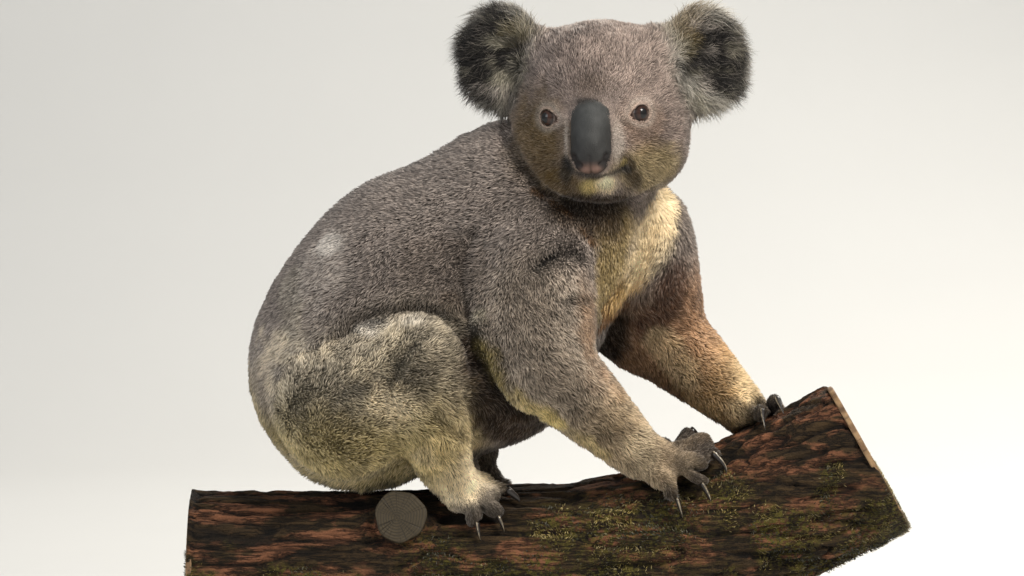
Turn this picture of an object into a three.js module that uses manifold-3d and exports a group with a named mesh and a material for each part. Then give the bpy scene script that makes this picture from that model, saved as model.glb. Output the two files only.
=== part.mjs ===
// A koala sitting on a cut branch, at life size, on a plain display stand.
//
// Millimetres, +Z up. +X runs along the branch towards the animal's front, and its right side faces -Y.
// The origin is the middle of the stand's underside. Everything above the stand is laid out from the
// seat, the point of the branch's top just in front of the feet, and is raised to its height at the end.
//
// Each part of the body is a lump of clay: a few round masses and tapered limbs, melted into one
// surface and skinned with a stretched icosphere. The lumps reach to the tips of the coat.

import * as THREE from "three";
import { mergeVertices } from "three/addons/utils/BufferGeometryUtils.js";
import Module from "manifold-3d";

const wasm = await Module();
wasm.setup();

const at = (x, y, z) => new THREE.Vector3(x, y, z);
const rad = THREE.MathUtils.degToRad;

// ---------------------------------------------------------------- driving dimensions

const GAP = 0.35; // clearance between two nodes that touch

const BRANCH_RADIUS = 75;
const BRANCH_BACK = -292; // x of the sawn ends
const BRANCH_FRONT = 292;
const BRANCH_RISE = 98; // how far the centre line climbs to the front end
const BRANCH_DIP = 6; // and how far it drops behind the seat
const STUB_RADIUS = 21; // a side branch, sawn off short

const BASE_LENGTH = 470;
const BASE_WIDTH = 280;
const BASE_THICKNESS = 18;
const BASE_CORNER = 30;
const ROD_RADIUS = 9;
const ROD_SPREAD = 150; // each rod's distance from the middle
const ROD_CLEAR = 36; // free rod under the lowest part of the branch
const COLLAR_RADIUS = 20;
const COLLAR_HEIGHT = 8;

const HEAD = at(59, -42, 316); // the middle of the skull
const HEAD_YAW = rad(-6); // 0 looks along -Y
const HEAD_PITCH = rad(3); // nose down
const HEAD_ROLL = rad(-3);
const EYE_RADIUS = 8.6;
const EYE_SPREAD = 38.5;
const EYE_RISE = 5; // over the middle of the skull
const EYE_SINK = 3.6; // how deep the ball's middle lies under the face
const CLAW_RADIUS = 4.4;
const EAR_WIDTH = 88;
const EAR_HEIGHT = 106;
const EAR_DEPTH = 46;
const EAR_PLACE = { left: [91, -8, 46], right: [-83, -8, 56] }; // left, forward and up on the head

// Joints, on the middle line of each limb.
const JOINTS = {
  right: {
    shoulder: at(2, -44, 196),
    elbow: at(8, -72, 112),
    wrist: at(93, -46, 28),
    hip: at(-158, -42, 76),
    knee: at(-92, -90, 112),
    ankle: at(-74, -60, 24),
  },
  left: {
    shoulder: at(86, 40, 205),
    elbow: at(108, 70, 128),
    wrist: at(184, 26, 60),
    hip: at(-150, 58, 76),
    knee: at(-60, 102, 108),
    ankle: at(-50, 66, 26),
  },
};

// ---------------------------------------------------------------- clay: masses, limbs and how they melt

// A round mass, as a function that gives a point's distance from its surface. Turned by yaw about Z
// after pitch about Y, in degrees.
function mass(centre, rx, ry, rz, { yaw = 0, pitch = 0, turn } = {}) {
  const set = turn ?? new THREE.Quaternion().setFromEuler(new THREE.Euler(0, rad(pitch), rad(yaw), "ZYX"));
  const back = set.clone().invert();
  const q = at(0, 0, 0);
  return (p) => {
    q.subVectors(p, centre).applyQuaternion(back);
    const k0 = Math.hypot(q.x / rx, q.y / ry, q.z / rz);
    const k1 = Math.hypot(q.x / rx ** 2, q.y / ry ** 2, q.z / rz ** 2);
    return k1 < 1e-9 ? -Math.min(rx, ry, rz) : (k0 * (k0 - 1)) / k1;
  };
}

// A tapered limb with round ends, from a to b.
function limb(a, b, ra, rb) {
  const axis = at(0, 0, 0).subVectors(b, a);
  const length2 = axis.lengthSq();
  const q = at(0, 0, 0);
  return (p) => {
    q.subVectors(p, a);
    const t = THREE.MathUtils.clamp(q.dot(axis) / length2, 0, 1);
    return q.addScaledVector(axis, -t).length() - THREE.MathUtils.lerp(ra, rb, t);
  };
}

// Joins surfaces, with a fillet where they meet.
function melt(parts, blend) {
  return (p) =>
    parts.reduce((d, part) => {
      const e = part(p);
      const h = Math.max(blend - Math.abs(d - e), 0) / blend;
      return Math.min(d, e) - (h * h * blend) / 4;
    }, 1e6);
}

// Takes a scoop out of a surface, with a rounded rim.
function hollow(body, scoop, blend) {
  return (p) => {
    const d = body(p);
    const e = -scoop(p);
    const h = Math.max(blend - Math.abs(d - e), 0) / blend;
    return Math.max(d, e) + (h * h * blend) / 4;
  };
}

// Where the ray from centre along direction leaves the surface, grown by a distance.
function edgeOf(surface, centre, direction, grown = 0) {
  const p = at(0, 0, 0);
  let inside = 0;
  let outside = 400;
  while (outside - inside > 1e-3) {
    const middle = (inside + outside) / 2;
    if (surface(p.copy(centre).addScaledVector(direction, middle)) < grown) inside = middle;
    else outside = middle;
  }
  return p.copy(centre).addScaledVector(direction, inside);
}

// ---------------------------------------------------------------- from clay to solids

function solidOf(geometry) {
  const bare = geometry.clone();
  bare.deleteAttribute("normal");
  bare.deleteAttribute("uv");
  const merged = mergeVertices(bare, 1e-3);
  return new wasm.Manifold(
    new wasm.Mesh({
      numProp: 3,
      vertProperties: merged.attributes.position.array,
      triVerts: new Uint32Array(merged.index.array),
    }),
  );
}

function geometryOf(solid) {
  const mesh = solid.getMesh();
  return new THREE.BufferGeometry()
    .setAttribute("position", new THREE.BufferAttribute(mesh.vertProperties, 3))
    .setIndex(new THREE.BufferAttribute(mesh.triVerts, 1));
}

// Skins a surface that every ray from centre meets once. The rays go through the points of an
// icosphere, stretched along axis.
function skin(surface, { centre, axis = at(0, 0, 1), stretch = 1, detail }, grown = 0) {
  const turn = new THREE.Quaternion().setFromUnitVectors(at(0, 0, 1), axis.clone().normalize());
  const geometry = new THREE.IcosahedronGeometry(1, detail).scale(1, 1, stretch).applyQuaternion(turn);
  const points = geometry.attributes.position;
  const ray = at(0, 0, 0);
  for (let i = 0; i < points.count; i++) {
    ray.fromBufferAttribute(points, i).normalize();
    const p = edgeOf(surface, centre, ray, grown);
    points.setXYZ(i, p.x, p.y, p.z);
  }
  return solidOf(geometry);
}

// One lump as its own solid, with the slightly larger one that cuts room for it in its neighbours.
function lump(surface, layout) {
  return { solid: skin(surface, layout), room: skin(surface, layout, GAP) };
}

// A lump round the limb from a to b, with any masses that lie against it.
function limbLump(a, b, ra, rb, detail, masses = []) {
  const axis = at(0, 0, 0).subVectors(b, a);
  return lump(melt([limb(a, b, ra, rb), ...masses], 22), {
    centre: at(0, 0, 0).lerpVectors(a, b, 0.5),
    axis,
    stretch: 1 + axis.length() / (ra + rb),
    detail,
  });
}

function join(pieces) {
  return {
    solid: wasm.Manifold.union(pieces.map((piece) => piece.solid)),
    room: wasm.Manifold.union(pieces.map((piece) => piece.room)),
  };
}

// Bends a cylinder or cone that stands along Y, one unit long, along a curve.
function bend(geometry, curve) {
  const points = geometry.attributes.position;
  const side = at(0, 0, 0);
  const other = at(0, 0, 0);
  const p = at(0, 0, 0);
  for (let i = 0; i < points.count; i++) {
    const t = THREE.MathUtils.clamp(points.getY(i) + 0.5, 0, 1);
    const along = curve.getTangentAt(t);
    side.crossVectors(along, at(0, 1, 0.02)).normalize();
    other.crossVectors(side, along);
    p.copy(curve.getPointAt(t))
      .addScaledVector(side, points.getX(i))
      .addScaledVector(other, points.getZ(i));
    points.setXYZ(i, p.x, p.y, p.z);
  }
  return geometry;
}

// ---------------------------------------------------------------- the branch and its stand

// Height of the branch's centre line over the seat, and its slope, at x.
function branchLine(x) {
  const front = Math.max(0, x) / BRANCH_FRONT;
  const back = Math.min(0, x) / BRANCH_BACK;
  return BRANCH_RISE * front ** 1.9 - BRANCH_DIP * THREE.MathUtils.smoothstep(back, 0, 0.6) - BRANCH_RADIUS;
}
const branchSlope = (x) => branchLine(x + 0.5) - branchLine(x - 0.5);

// A point over the branch's bark: its x, the angle round the branch from the top towards -Y, in
// degrees, and its height over the bark.
function onBranch(x, angle, lift) {
  const r = BRANCH_RADIUS + lift;
  const steep = Math.hypot(1, branchSlope(x));
  return at(x, -r * Math.sin(rad(angle)), branchLine(x) + r * Math.cos(rad(angle)) * steep);
}

function branch(grown = 0) {
  const stations = 8;
  const line = new THREE.CatmullRomCurve3(
    Array.from({ length: stations }, (_, i) => {
      const x = THREE.MathUtils.lerp(BRANCH_BACK, BRANCH_FRONT, i / (stations - 1));
      return at(x, 0, branchLine(x));
    }),
  );
  const r = BRANCH_RADIUS + grown;
  const bole = new THREE.CylinderGeometry(r * 0.98, r, 1, 16, 9);
  const stub = new THREE.CylinderGeometry(STUB_RADIUS + grown, STUB_RADIUS * 1.2 + grown, 60, 12)
    .rotateX(rad(168))
    .translate(-110, -44, -28);
  return solidOf(bend(bole, line)).add(solidOf(stub));
}

const SEAT_HEIGHT = BASE_THICKNESS + ROD_CLEAR + BRANCH_DIP + 2 * BRANCH_RADIUS;
const BASE_TOP = BASE_THICKNESS - SEAT_HEIGHT;

function base() {
  const x = BASE_LENGTH / 2 - BASE_CORNER;
  const y = BASE_WIDTH / 2 - BASE_CORNER;
  const outline = new THREE.Shape()
    .absarc(x, -y, BASE_CORNER, -Math.PI / 2, 0)
    .absarc(x, y, BASE_CORNER, 0, Math.PI / 2)
    .absarc(-x, y, BASE_CORNER, Math.PI / 2, Math.PI)
    .absarc(-x, -y, BASE_CORNER, Math.PI, Math.PI * 1.5);
  const plate = new THREE.ExtrudeGeometry(outline, {
    depth: BASE_THICKNESS,
    bevelEnabled: false,
    curveSegments: 4,
  });
  return solidOf(plate.translate(0, 0, -SEAT_HEIGHT));
}

// A rod with a round foot, standing on the base and cut to the underside of the branch.
function rod(x, branchRoom) {
  const bottom = BASE_TOP + GAP;
  const height = branchLine(x) - bottom;
  const profile = [
    [0, 0],
    [COLLAR_RADIUS, 0],
    [COLLAR_RADIUS, COLLAR_HEIGHT],
    [ROD_RADIUS, COLLAR_HEIGHT],
    [ROD_RADIUS, height],
    [0, height],
  ].map(([r, h]) => new THREE.Vector2(r, h));
  const turned = new THREE.LatheGeometry(profile, 12).rotateX(Math.PI / 2).translate(x, 0, bottom);
  return solidOf(turned).subtract(branchRoom);
}

// ---------------------------------------------------------------- the body

function trunk() {
  const surface = melt(
    [
      mass(at(-144, 10, 98), 101, 104, 106), // rump
      mass(at(-96, 8, 162), 106, 100, 112, { pitch: 35 }), // loins
      mass(at(-48, 4, 118), 104, 98, 92), // belly
      mass(at(6, -2, 214), 94, 82, 100, { yaw: 12, pitch: 20 }), // chest
      mass(at(-22, 6, 247), 58, 56, 52), // withers
    ],
    40,
  );
  return lump(surface, { centre: at(-60, 4, 150), axis: at(0.8, 0, 0.6), stretch: 1.35, detail: 5 });
}

// Points and masses on the head are given from its middle: left, forward and up.
const headTurn = new THREE.Quaternion().setFromEuler(
  new THREE.Euler(HEAD_PITCH, HEAD_ROLL, HEAD_YAW, "ZYX"),
);
const onHead = (left, forward, up) => at(left, -forward, up).applyQuaternion(headTurn).add(HEAD);
const headMass = (left, forward, up, rx, ry, rz) =>
  mass(onHead(left, forward, up), rx, ry, rz, { turn: headTurn });

const SIDES = { left: 1, right: -1 };

const headClay = melt(
  [
    headMass(0, -14, 14, 72, 74, 62), // skull
    headMass(0, -8, 40, 56, 56, 40), // crown
    ...Object.values(SIDES).flatMap((s) => [
      headMass(s * 40, 4, -20, 37, 46, 45), // cheek
      headMass(s * 22, 26, -38, 26, 34, 30), // jowl
      headMass(s * 58, -12, 50, 22, 22, 26), // root of the ear
    ]),
    headMass(0, 34, -26, 34, 36, 34), // muzzle
    headMass(0, 36, -50, 22, 27, 18), // chin
  ],
  16,
);

function head() {
  return lump(headClay, { centre: onHead(0, 0, -5), detail: 5 });
}

function nose() {
  const surface = melt(
    [
      headMass(-2, 50, 9, 16, 15, 14), // bridge
      headMass(-2.5, 59, -8, 16.5, 19, 22), // pad
      headMass(-3, 65, -26, 17.5, 20, 17), // tip
    ],
    12,
  );
  return lump(surface, {
    centre: onHead(0, 58, -10),
    axis: onHead(0, -8, 30).sub(HEAD),
    stretch: 1.7,
    detail: 2,
  });
}

function eye(side) {
  const gaze = onHead(side * 0.6, 0.8, 0).sub(HEAD);
  const face = edgeOf(headClay, onHead(side * EYE_SPREAD, 0, EYE_RISE), onHead(0, 1, 0).sub(HEAD));
  const centre = face.addScaledVector(gaze, -EYE_SINK);
  return lump(mass(centre, EYE_RADIUS, EYE_RADIUS, EYE_RADIUS), { centre, detail: 1 });
}

function ear(left, forward, up) {
  const shell = headMass(left, forward, up, EAR_WIDTH / 2, EAR_DEPTH / 2, EAR_HEIGHT / 2);
  const bowl = headMass(left * 1.04, forward + 32, up + 2, EAR_WIDTH * 0.27, 22, EAR_HEIGHT * 0.29);
  return lump(hollow(shell, bowl, 12), { centre: onHead(left, forward - 8, up), detail: 3 });
}

function neck() {
  return limbLump(at(16, 2, 222), onHead(0, -28, -10), 78, 66, 2);
}

// ---------------------------------------------------------------- legs and arms

function thigh({ hip, knee }, out) {
  const back = mass(at(hip.x + 6, hip.y + out * 18, hip.z - 2), 62, 46, 66);
  return limbLump(hip, knee, 62, 42, 3, [back]);
}

function shank({ knee, ankle }) {
  const calf = at(0, 0, 0).lerpVectors(knee, ankle, 0.35).add(at(-12, 0, -4));
  return limbLump(knee, ankle, 40, 26, 2, [mass(calf, 34, 32, 40)]);
}

function upperArm({ shoulder, elbow }) {
  const triceps = at(0, 0, 0).lerpVectors(shoulder, elbow, 0.62).add(at(-18, 0, 4));
  return limbLump(shoulder, elbow, 60, 46, 3, [mass(triceps, 54, 44, 56)]);
}

function forearm({ elbow, wrist }) {
  return limbLump(elbow, wrist, 44, 23, 2);
}

function digit(root, knuckle, tip, radius) {
  const surface = melt([limb(root, knuckle, radius, radius), limb(knuckle, tip, radius, radius * 0.75)], 5);
  const axis = at(0, 0, 0).subVectors(tip, root);
  return lump(surface, { centre: knuckle, axis, stretch: 1.9, detail: 1 });
}

// A hooked claw: a cone bent from root past a middle point to its tip.
function claw(root, middle, tip, radius) {
  const curve = new THREE.QuadraticBezierCurve3(root, middle, tip);
  return solidOf(bend(new THREE.ConeGeometry(radius, 1, 5, 3), curve));
}

// Each digit: where its root, knuckle and tip lie on the branch, and its thickness. The hands have
// two thumbs, on the inner side. The feet have a thumb without a claw, and one double toe.
const PAWS = {
  hand_right: {
    palm: [108, 26, 16],
    digits: [
      { root: [104, 36, 13], knuckle: [112, 45, 15], tip: [120, 54, 9], radius: 10.5 },
      { root: [122, 31, 15], knuckle: [139, 42, 16], tip: [145, 50, 9], radius: 10.5 },
      { root: [126, 22, 14], knuckle: [146, 26, 15], tip: [156, 36, 10], radius: 11 },
      { root: [112, 17, 13], knuckle: [130, 3, 14], tip: [140, -5, 9], radius: 9.5 },
      { root: [104, 15, 12], knuckle: [111, -5, 14], tip: [118, -18, 8], radius: 9.5 },
    ],
  },
  hand_left: {
    palm: [196, -38, 6],
    digits: [
      { root: [192, -54, 12], knuckle: [201, -64, 14], tip: [208, -73, 8], radius: 10 },
      { root: [203, -50, 12], knuckle: [217, -58, 13], tip: [226, -66, 8], radius: 10 },
      { root: [206, -36, 9], knuckle: [222, -41, 10], tip: [232, -47, 7], radius: 10.5 },
      { root: [199, -14, 8], knuckle: [207, -4, 9], tip: [212, 5, 5], radius: 9 },
      { root: [190, -8, 8], knuckle: [195, 3, 9], tip: [198, 12, 5], radius: 9 },
    ],
  },
  foot_right: {
    palm: [-58, 33, 15],
    digits: [
      { root: [-63, 38, 12], knuckle: [-56, 45, 14], tip: [-50, 52, 9], radius: 11.5 },
      { root: [-42, 36, 12], knuckle: [-35, 41, 14], tip: [-30, 47, 9], radius: 11.5 },
      { root: [-42, 22, 13], knuckle: [-31, 24, 12], tip: [-23, 27, 8], radius: 10.5 },
      { root: [-64, 22, 13], knuckle: [-56, 4, 13], tip: [-50, -9, 8], radius: 11 },
    ],
  },
  foot_left: {
    palm: [-50, -40, 12],
    digits: [
      { root: [-56, -47, 12], knuckle: [-49, -55, 14], tip: [-43, -62, 9], radius: 11.5 },
      { root: [-38, -46, 12], knuckle: [-31, -52, 14], tip: [-26, -58, 9], radius: 11.5 },
      { root: [-36, -34, 11], knuckle: [-27, -37, 12], tip: [-20, -40, 8], radius: 10.5 },
      { root: [-57, -28, 12], knuckle: [-53, -12, 12], tip: [-48, 2, 7], radius: 10.5 },
    ],
  },
};

function paw(name, wrist) {
  const { palm, digits } = PAWS[name];
  const heel = limbLump(wrist, onBranch(...palm), 24, 19, 1);
  return join([
    heel,
    ...digits.map(({ root, knuckle, tip, radius }) =>
      digit(onBranch(...root), onBranch(...knuckle), onBranch(...tip), radius),
    ),
  ]);
}

function pawClaws(name) {
  const clawed = name.startsWith("foot") ? PAWS[name].digits.slice(0, 3) : PAWS[name].digits;
  return clawed.map(({ knuckle, tip }) => {
    const from = onBranch(...tip);
    const along = onBranch(...tip).sub(onBranch(...knuckle)).normalize();
    const out = onBranch(tip[0], tip[1], 1).sub(onBranch(tip[0], tip[1], 0));
    const root = from.clone().addScaledVector(out, 3);
    const middle = from.clone().addScaledVector(along, 14).addScaledVector(out, 6);
    const end = from.clone().addScaledVector(along, 18).addScaledVector(out, -7);
    return claw(root, middle, end, CLAW_RADIUS);
  });
}

// ---------------------------------------------------------------- putting it together

const looks = {
  fur: new THREE.MeshStandardMaterial({ color: 0x8b8178, roughness: 0.9 }),
  ear_fur: new THREE.MeshStandardMaterial({ color: 0x5c5450, roughness: 0.9 }),
  nose_leather: new THREE.MeshStandardMaterial({ color: 0x2f3134, roughness: 0.5 }),
  eye: new THREE.MeshStandardMaterial({ color: 0x2a150c, roughness: 0.08 }),
  claw: new THREE.MeshStandardMaterial({ color: 0x2b2622, roughness: 0.35 }),
  bark: new THREE.MeshStandardMaterial({ color: 0x5b4334, roughness: 0.9 }),
  base_wood: new THREE.MeshStandardMaterial({ color: 0x2a211b, roughness: 0.45 }),
  rod_steel: new THREE.MeshStandardMaterial({ color: 0xb8b8ba, roughness: 0.3, metalness: 1 }),
};

const koala = new THREE.Group();
koala.position.z = SEAT_HEIGHT;
const taken = []; // the room of every node made so far, which the next ones are cut by

function place(name, look, { solid, room }) {
  const cut = taken.reduce((rest, other) => rest.subtract(other), solid);
  const [largest] = cut.decompose().sort((a, b) => b.volume() - a.volume());
  const mesh = new THREE.Mesh(geometryOf(largest), look);
  mesh.name = name;
  koala.add(mesh);
  taken.push(room ?? solid);
}

const branchRoom = branch(GAP);
place("stand_base", looks.base_wood, { solid: base() });
place("stand_rod_back", looks.rod_steel, { solid: rod(-ROD_SPREAD, branchRoom) });
place("stand_rod_front", looks.rod_steel, { solid: rod(ROD_SPREAD, branchRoom) });
place("perch_branch", looks.bark, { solid: branch(), room: branchRoom });

place("nose", looks.nose_leather, nose());
for (const [name, side] of Object.entries(SIDES)) place(`eye_${name}`, looks.eye, eye(side));
place("head", looks.fur, head());
for (const [name, spot] of Object.entries(EAR_PLACE)) place(`ear_${name}`, looks.ear_fur, ear(...spot));
place("trunk", looks.fur, trunk());
place("neck", looks.fur, neck());

for (const [name, side] of Object.entries(SIDES)) {
  const joints = JOINTS[name];
  place(`thigh_${name}`, looks.fur, thigh(joints, side));
  place(`shank_${name}`, looks.fur, shank(joints));
  place(`upper_arm_${name}`, looks.fur, upperArm(joints));
  place(`forearm_${name}`, looks.fur, forearm(joints));
  for (const [end, joint] of [["hand", joints.wrist], ["foot", joints.ankle]]) {
    const limbEnd = `${end}_${name}`;
    place(limbEnd, looks.fur, paw(limbEnd, joint));
    pawClaws(limbEnd).forEach((solid, i) => {
      place(`claw_${limbEnd}_${i + 1}`, looks.claw, { solid });
    });
  }
}

export default koala;
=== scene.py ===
# %% [markdown]
# # A koala on a cut branch
#
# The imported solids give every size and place. This lesson dresses them: one skin over the flesh, a
# coat of small solid tufts, a nose, eyes and claws, bark and moss on the branch, and a plain stand.
# All lengths are in metres, and the animal's front is towards +X, with its face turned to -Y.

import math

import bpy
import numpy as np
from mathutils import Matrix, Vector
from mathutils.kdtree import KDTree


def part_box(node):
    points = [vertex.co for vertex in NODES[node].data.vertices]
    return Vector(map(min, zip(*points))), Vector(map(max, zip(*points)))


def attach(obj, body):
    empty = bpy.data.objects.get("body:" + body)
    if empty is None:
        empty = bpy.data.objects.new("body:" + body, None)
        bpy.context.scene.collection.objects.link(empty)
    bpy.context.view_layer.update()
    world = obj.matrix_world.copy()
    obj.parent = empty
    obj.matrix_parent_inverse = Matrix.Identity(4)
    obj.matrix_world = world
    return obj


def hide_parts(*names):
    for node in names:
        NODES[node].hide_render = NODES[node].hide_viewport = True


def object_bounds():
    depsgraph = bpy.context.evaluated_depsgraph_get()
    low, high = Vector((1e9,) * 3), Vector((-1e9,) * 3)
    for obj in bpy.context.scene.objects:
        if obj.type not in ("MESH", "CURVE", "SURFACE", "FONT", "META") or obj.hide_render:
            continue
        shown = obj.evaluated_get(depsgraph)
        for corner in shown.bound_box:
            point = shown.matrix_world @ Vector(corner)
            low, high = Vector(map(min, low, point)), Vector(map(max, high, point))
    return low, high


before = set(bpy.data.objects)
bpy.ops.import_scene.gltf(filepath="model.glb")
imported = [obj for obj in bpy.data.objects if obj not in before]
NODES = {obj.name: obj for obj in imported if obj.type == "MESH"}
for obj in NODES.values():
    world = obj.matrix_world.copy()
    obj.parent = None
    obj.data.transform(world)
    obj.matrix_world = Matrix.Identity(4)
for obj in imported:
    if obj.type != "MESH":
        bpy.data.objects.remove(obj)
CAD_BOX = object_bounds()
MM = 0.001
SIDES = {"left": 1, "right": -1}
bpy.ops.object.select_all(action="DESELECT")
print("frame:", len(NODES), "solids, box", [round(v, 3) for v in (*CAD_BOX[0], *CAD_BOX[1])])

# %% [markdown]
# ## Camera, light and floor
#
# The animal is seen from a little above, a long way off, so the lens is long. The studio has one
# warm lamp high in front, a wide cool fill from the other side, and a lamp behind that lights the
# edges of the coat. The floor runs up into a backdrop, so no horizon shows.

# %% Camera
VIEW_TARGET = Vector((-0.0155, 0, 0.377))
VIEW_DISTANCE = 4.0
VIEW_WIDTH = 0.8806  # how much the frame is across at the target
VIEW_ELEVATION = math.radians(4)


def add_camera():
    back = Vector((0, -math.cos(VIEW_ELEVATION), math.sin(VIEW_ELEVATION)))
    bpy.ops.object.camera_add(location=VIEW_TARGET + VIEW_DISTANCE * back)
    camera = bpy.context.object
    camera.rotation_euler = (math.pi / 2 - VIEW_ELEVATION, 0, 0)
    camera.data.sensor_width = 36
    camera.data.lens = camera.data.sensor_width * VIEW_DISTANCE / VIEW_WIDTH
    bpy.context.scene.camera = camera
    return camera


camera = add_camera()
print("camera: lens", round(camera.data.lens, 1), "mm")


# %% Lamps and the air
def add_lamp(name, place, power, size, colour):
    bpy.ops.object.light_add(type="AREA", location=place)
    lamp = bpy.context.object
    lamp.name = name
    lamp.rotation_euler = (VIEW_TARGET - Vector(place)).to_track_quat("-Z", "Y").to_euler()
    lamp.data.energy = power
    lamp.data.size = size
    lamp.data.color = colour


add_lamp("key", (1.5, -1.9, 2.5), 105, 0.8, (1.0, 0.95, 0.87))
add_lamp("fill", (-2.6, -2.2, 1.7), 42, 2.0, (0.95, 0.98, 1.0))
add_lamp("rim", (1.2, 2.0, 2.0), 75, 1.0, (1.0, 0.95, 0.86))

world = bpy.data.worlds.new("studio air")
world.use_nodes = True
world.node_tree.nodes["Background"].inputs["Color"].default_value = (0.86, 0.87, 0.88, 1)
world.node_tree.nodes["Background"].inputs["Strength"].default_value = 0.42
bpy.context.scene.world = world
bpy.context.scene.view_settings.view_transform = "Standard"
print("studio: three lamps")

# %% [markdown]
# ## Writing materials
#
# Every finish is a small tree of shader nodes. Short helpers keep them readable: one starts a
# material with its constant settings, one adds a node and gives back its output, and one feeds
# outputs to the shader.


# %% Material helpers
def shade(red, green, blue):
    """A colour given as it looks on a screen, 0 to 255, as the linear values that shaders mix."""
    screen = np.array((red, green, blue)) / 255
    return np.where(screen <= 0.04045, screen / 12.92, ((screen + 0.055) / 1.055) ** 2.4)


def rgba(colour):
    return (*[float(v) for v in colour], 1.0)


def start_material(name, **settings):
    material = bpy.data.materials.new(name)
    material.use_nodes = True
    shader = material.node_tree.nodes["Principled BSDF"]
    for setting, value in settings.items():
        shader.inputs[setting.replace("_", " ")].default_value = value
    return material, material.node_tree, shader


def add_node(tree, kind, inputs=None, output=0, **settings):
    """Adds a node. Its inputs are given by name or number, as values or as other nodes' outputs."""
    node = tree.nodes.new("ShaderNode" + kind)
    for setting, value in settings.items():
        setattr(node, setting, value)
    for socket, value in (inputs or {}).items():
        if isinstance(value, bpy.types.NodeSocket):
            tree.links.new(value, node.inputs[socket])
        else:
            node.inputs[socket].default_value = value
    return node.outputs[output]


def feed(shader, **outputs):
    """Links other nodes' outputs to a shader's sockets, such as Base_Color or Normal."""
    for name, source in outputs.items():
        shader.id_data.links.new(source, shader.inputs[name.replace("_", " ")])


def value_of(tree, name):
    return add_node(tree, "Attribute", output="Fac", attribute_name=name)


def vector_of(tree, name):
    return add_node(tree, "Attribute", output="Vector", attribute_name=name)


def maths(tree, operation, *values):
    return add_node(tree, "Math", dict(enumerate(values)), operation=operation)


def spread(tree, value, low, high, to_low=0.0, to_high=1.0):
    """Stretches a value so that low and high become to_low and to_high, and clamps it there."""
    sides = {"From Min": low, "From Max": high, "To Min": to_low, "To Max": to_high}
    return add_node(tree, "MapRange", {"Value": value, **sides})


def mix_colours(tree, share, one, other, blend="MIX"):
    return add_node(
        tree, "Mix", {0: share, 6: one, 7: other}, output=2, data_type="RGBA", blend_type=blend
    )


def bump(tree, height, distance, strength=1.0):
    return add_node(tree, "Bump", {"Height": height, "Distance": distance, "Strength": strength})


def noise_of(tree, place, scale, detail=3.0, roughness=0.55):
    settings = {"Vector": place, "Scale": scale, "Detail": detail, "Roughness": roughness}
    return add_node(tree, "TexNoise", settings)


def length_of(tree, vector):
    return add_node(tree, "VectorMath", {0: vector}, output="Value", operation="LENGTH")


def unit_of(tree, vector):
    return add_node(tree, "VectorMath", {0: vector}, operation="NORMALIZE")


def coat_times(tree, strength):
    """The colour stored on the skin or tuft, made that many times as strong."""
    inputs = {0: vector_of(tree, "coat"), "Scale": strength}
    return add_node(tree, "VectorMath", inputs, operation="SCALE")


def scaled(tree, place, x, y, z):
    return add_node(tree, "VectorMath", {0: place, 1: (x, y, z)}, operation="MULTIPLY")


def object_place(tree):
    return add_node(tree, "TexCoord", output="Object")


# %% Floor and backdrop
def add_object(name, mesh):
    piece = bpy.data.objects.new(name, mesh)
    bpy.context.collection.objects.link(piece)
    return piece


def show_front_only(tree, shader):
    """Makes the back of a surface see-through, so that it hides nothing from behind."""
    clear = tree.nodes.new("ShaderNodeBsdfTransparent")
    either = tree.nodes.new("ShaderNodeMixShader")
    back = tree.nodes.new("ShaderNodeNewGeometry").outputs["Backfacing"]
    for source, socket in (
        (back, either.inputs[0]),
        (shader.outputs[0], either.inputs[1]),
        (clear.outputs[0], either.inputs[2]),
        (either.outputs[0], tree.nodes["Material Output"].inputs["Surface"]),
    ):
        tree.links.new(source, socket)


BEND_STEPS = 8  # in the curve from floor to backdrop


def add_floor():
    near, far, height, bend, wide = -9, 3.2, 4.5, 1.2, 9
    profile = [(near, 0), (far - bend, 0)]
    for step in range(1, BEND_STEPS + 1):
        turn = math.radians(90 * step / BEND_STEPS)
        profile.append((far - bend + bend * math.sin(turn), bend - bend * math.cos(turn)))
    profile.append((far, height))
    points = [(x, y, z) for y, z in profile for x in (-wide, wide)]
    faces = [(i, i + 1, i + 3, i + 2) for i in range(0, len(points) - 2, 2)]
    mesh = bpy.data.meshes.new("floor")
    mesh.from_pydata(points, [], faces)
    mesh.shade_smooth()
    floor = add_object("floor", mesh)
    material, tree, shader = start_material("floor paint", Roughness=0.8)
    cloud = noise_of(tree, object_place(tree), 1.5)
    tint = mix_colours(tree, cloud, rgba((0.60, 0.60, 0.59)), rgba((0.64, 0.64, 0.63)))
    feed(shader, Base_Color=tint)
    show_front_only(tree, shader)
    mesh.materials.append(material)
    return floor


floor = add_floor()
print("floor: one sweep")

# %% [markdown]
# ## One skin
#
# A living animal has no seams, so its flesh solids are copied, swollen by a hair so that they
# overlap, and melted into one surface by a voxel remesh. The nose and eyes are melted in as well,
# so that the skin carries on behind them.

# %% Melting solids together
FLESH = ["head", "neck", "trunk"] + [
    f"{part}_{side}"
    for part in ("ear", "thigh", "shank", "foot", "upper_arm", "forearm", "hand")
    for side in SIDES
]
SKIN_VOXEL = 3.2 * MM
SWELL = 0.6 * MM  # closes the thin gaps between the solids


def take(*pieces):
    """Selects these objects alone, and makes the first one active."""
    bpy.ops.object.select_all(action="DESELECT")
    for piece in pieces:
        piece.select_set(True)
    bpy.context.view_layer.objects.active = pieces[0]


def edit_all():
    bpy.ops.object.mode_set(mode="EDIT")
    bpy.ops.mesh.select_all(action="SELECT")


def apply_modifier(piece, kind, **settings):
    take(piece)
    bpy.ops.object.modifier_add(type=kind)
    modifier = piece.modifiers[-1]
    for name, value in settings.items():
        setattr(modifier, name, value)
    bpy.ops.object.modifier_apply(modifier=modifier.name)


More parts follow.
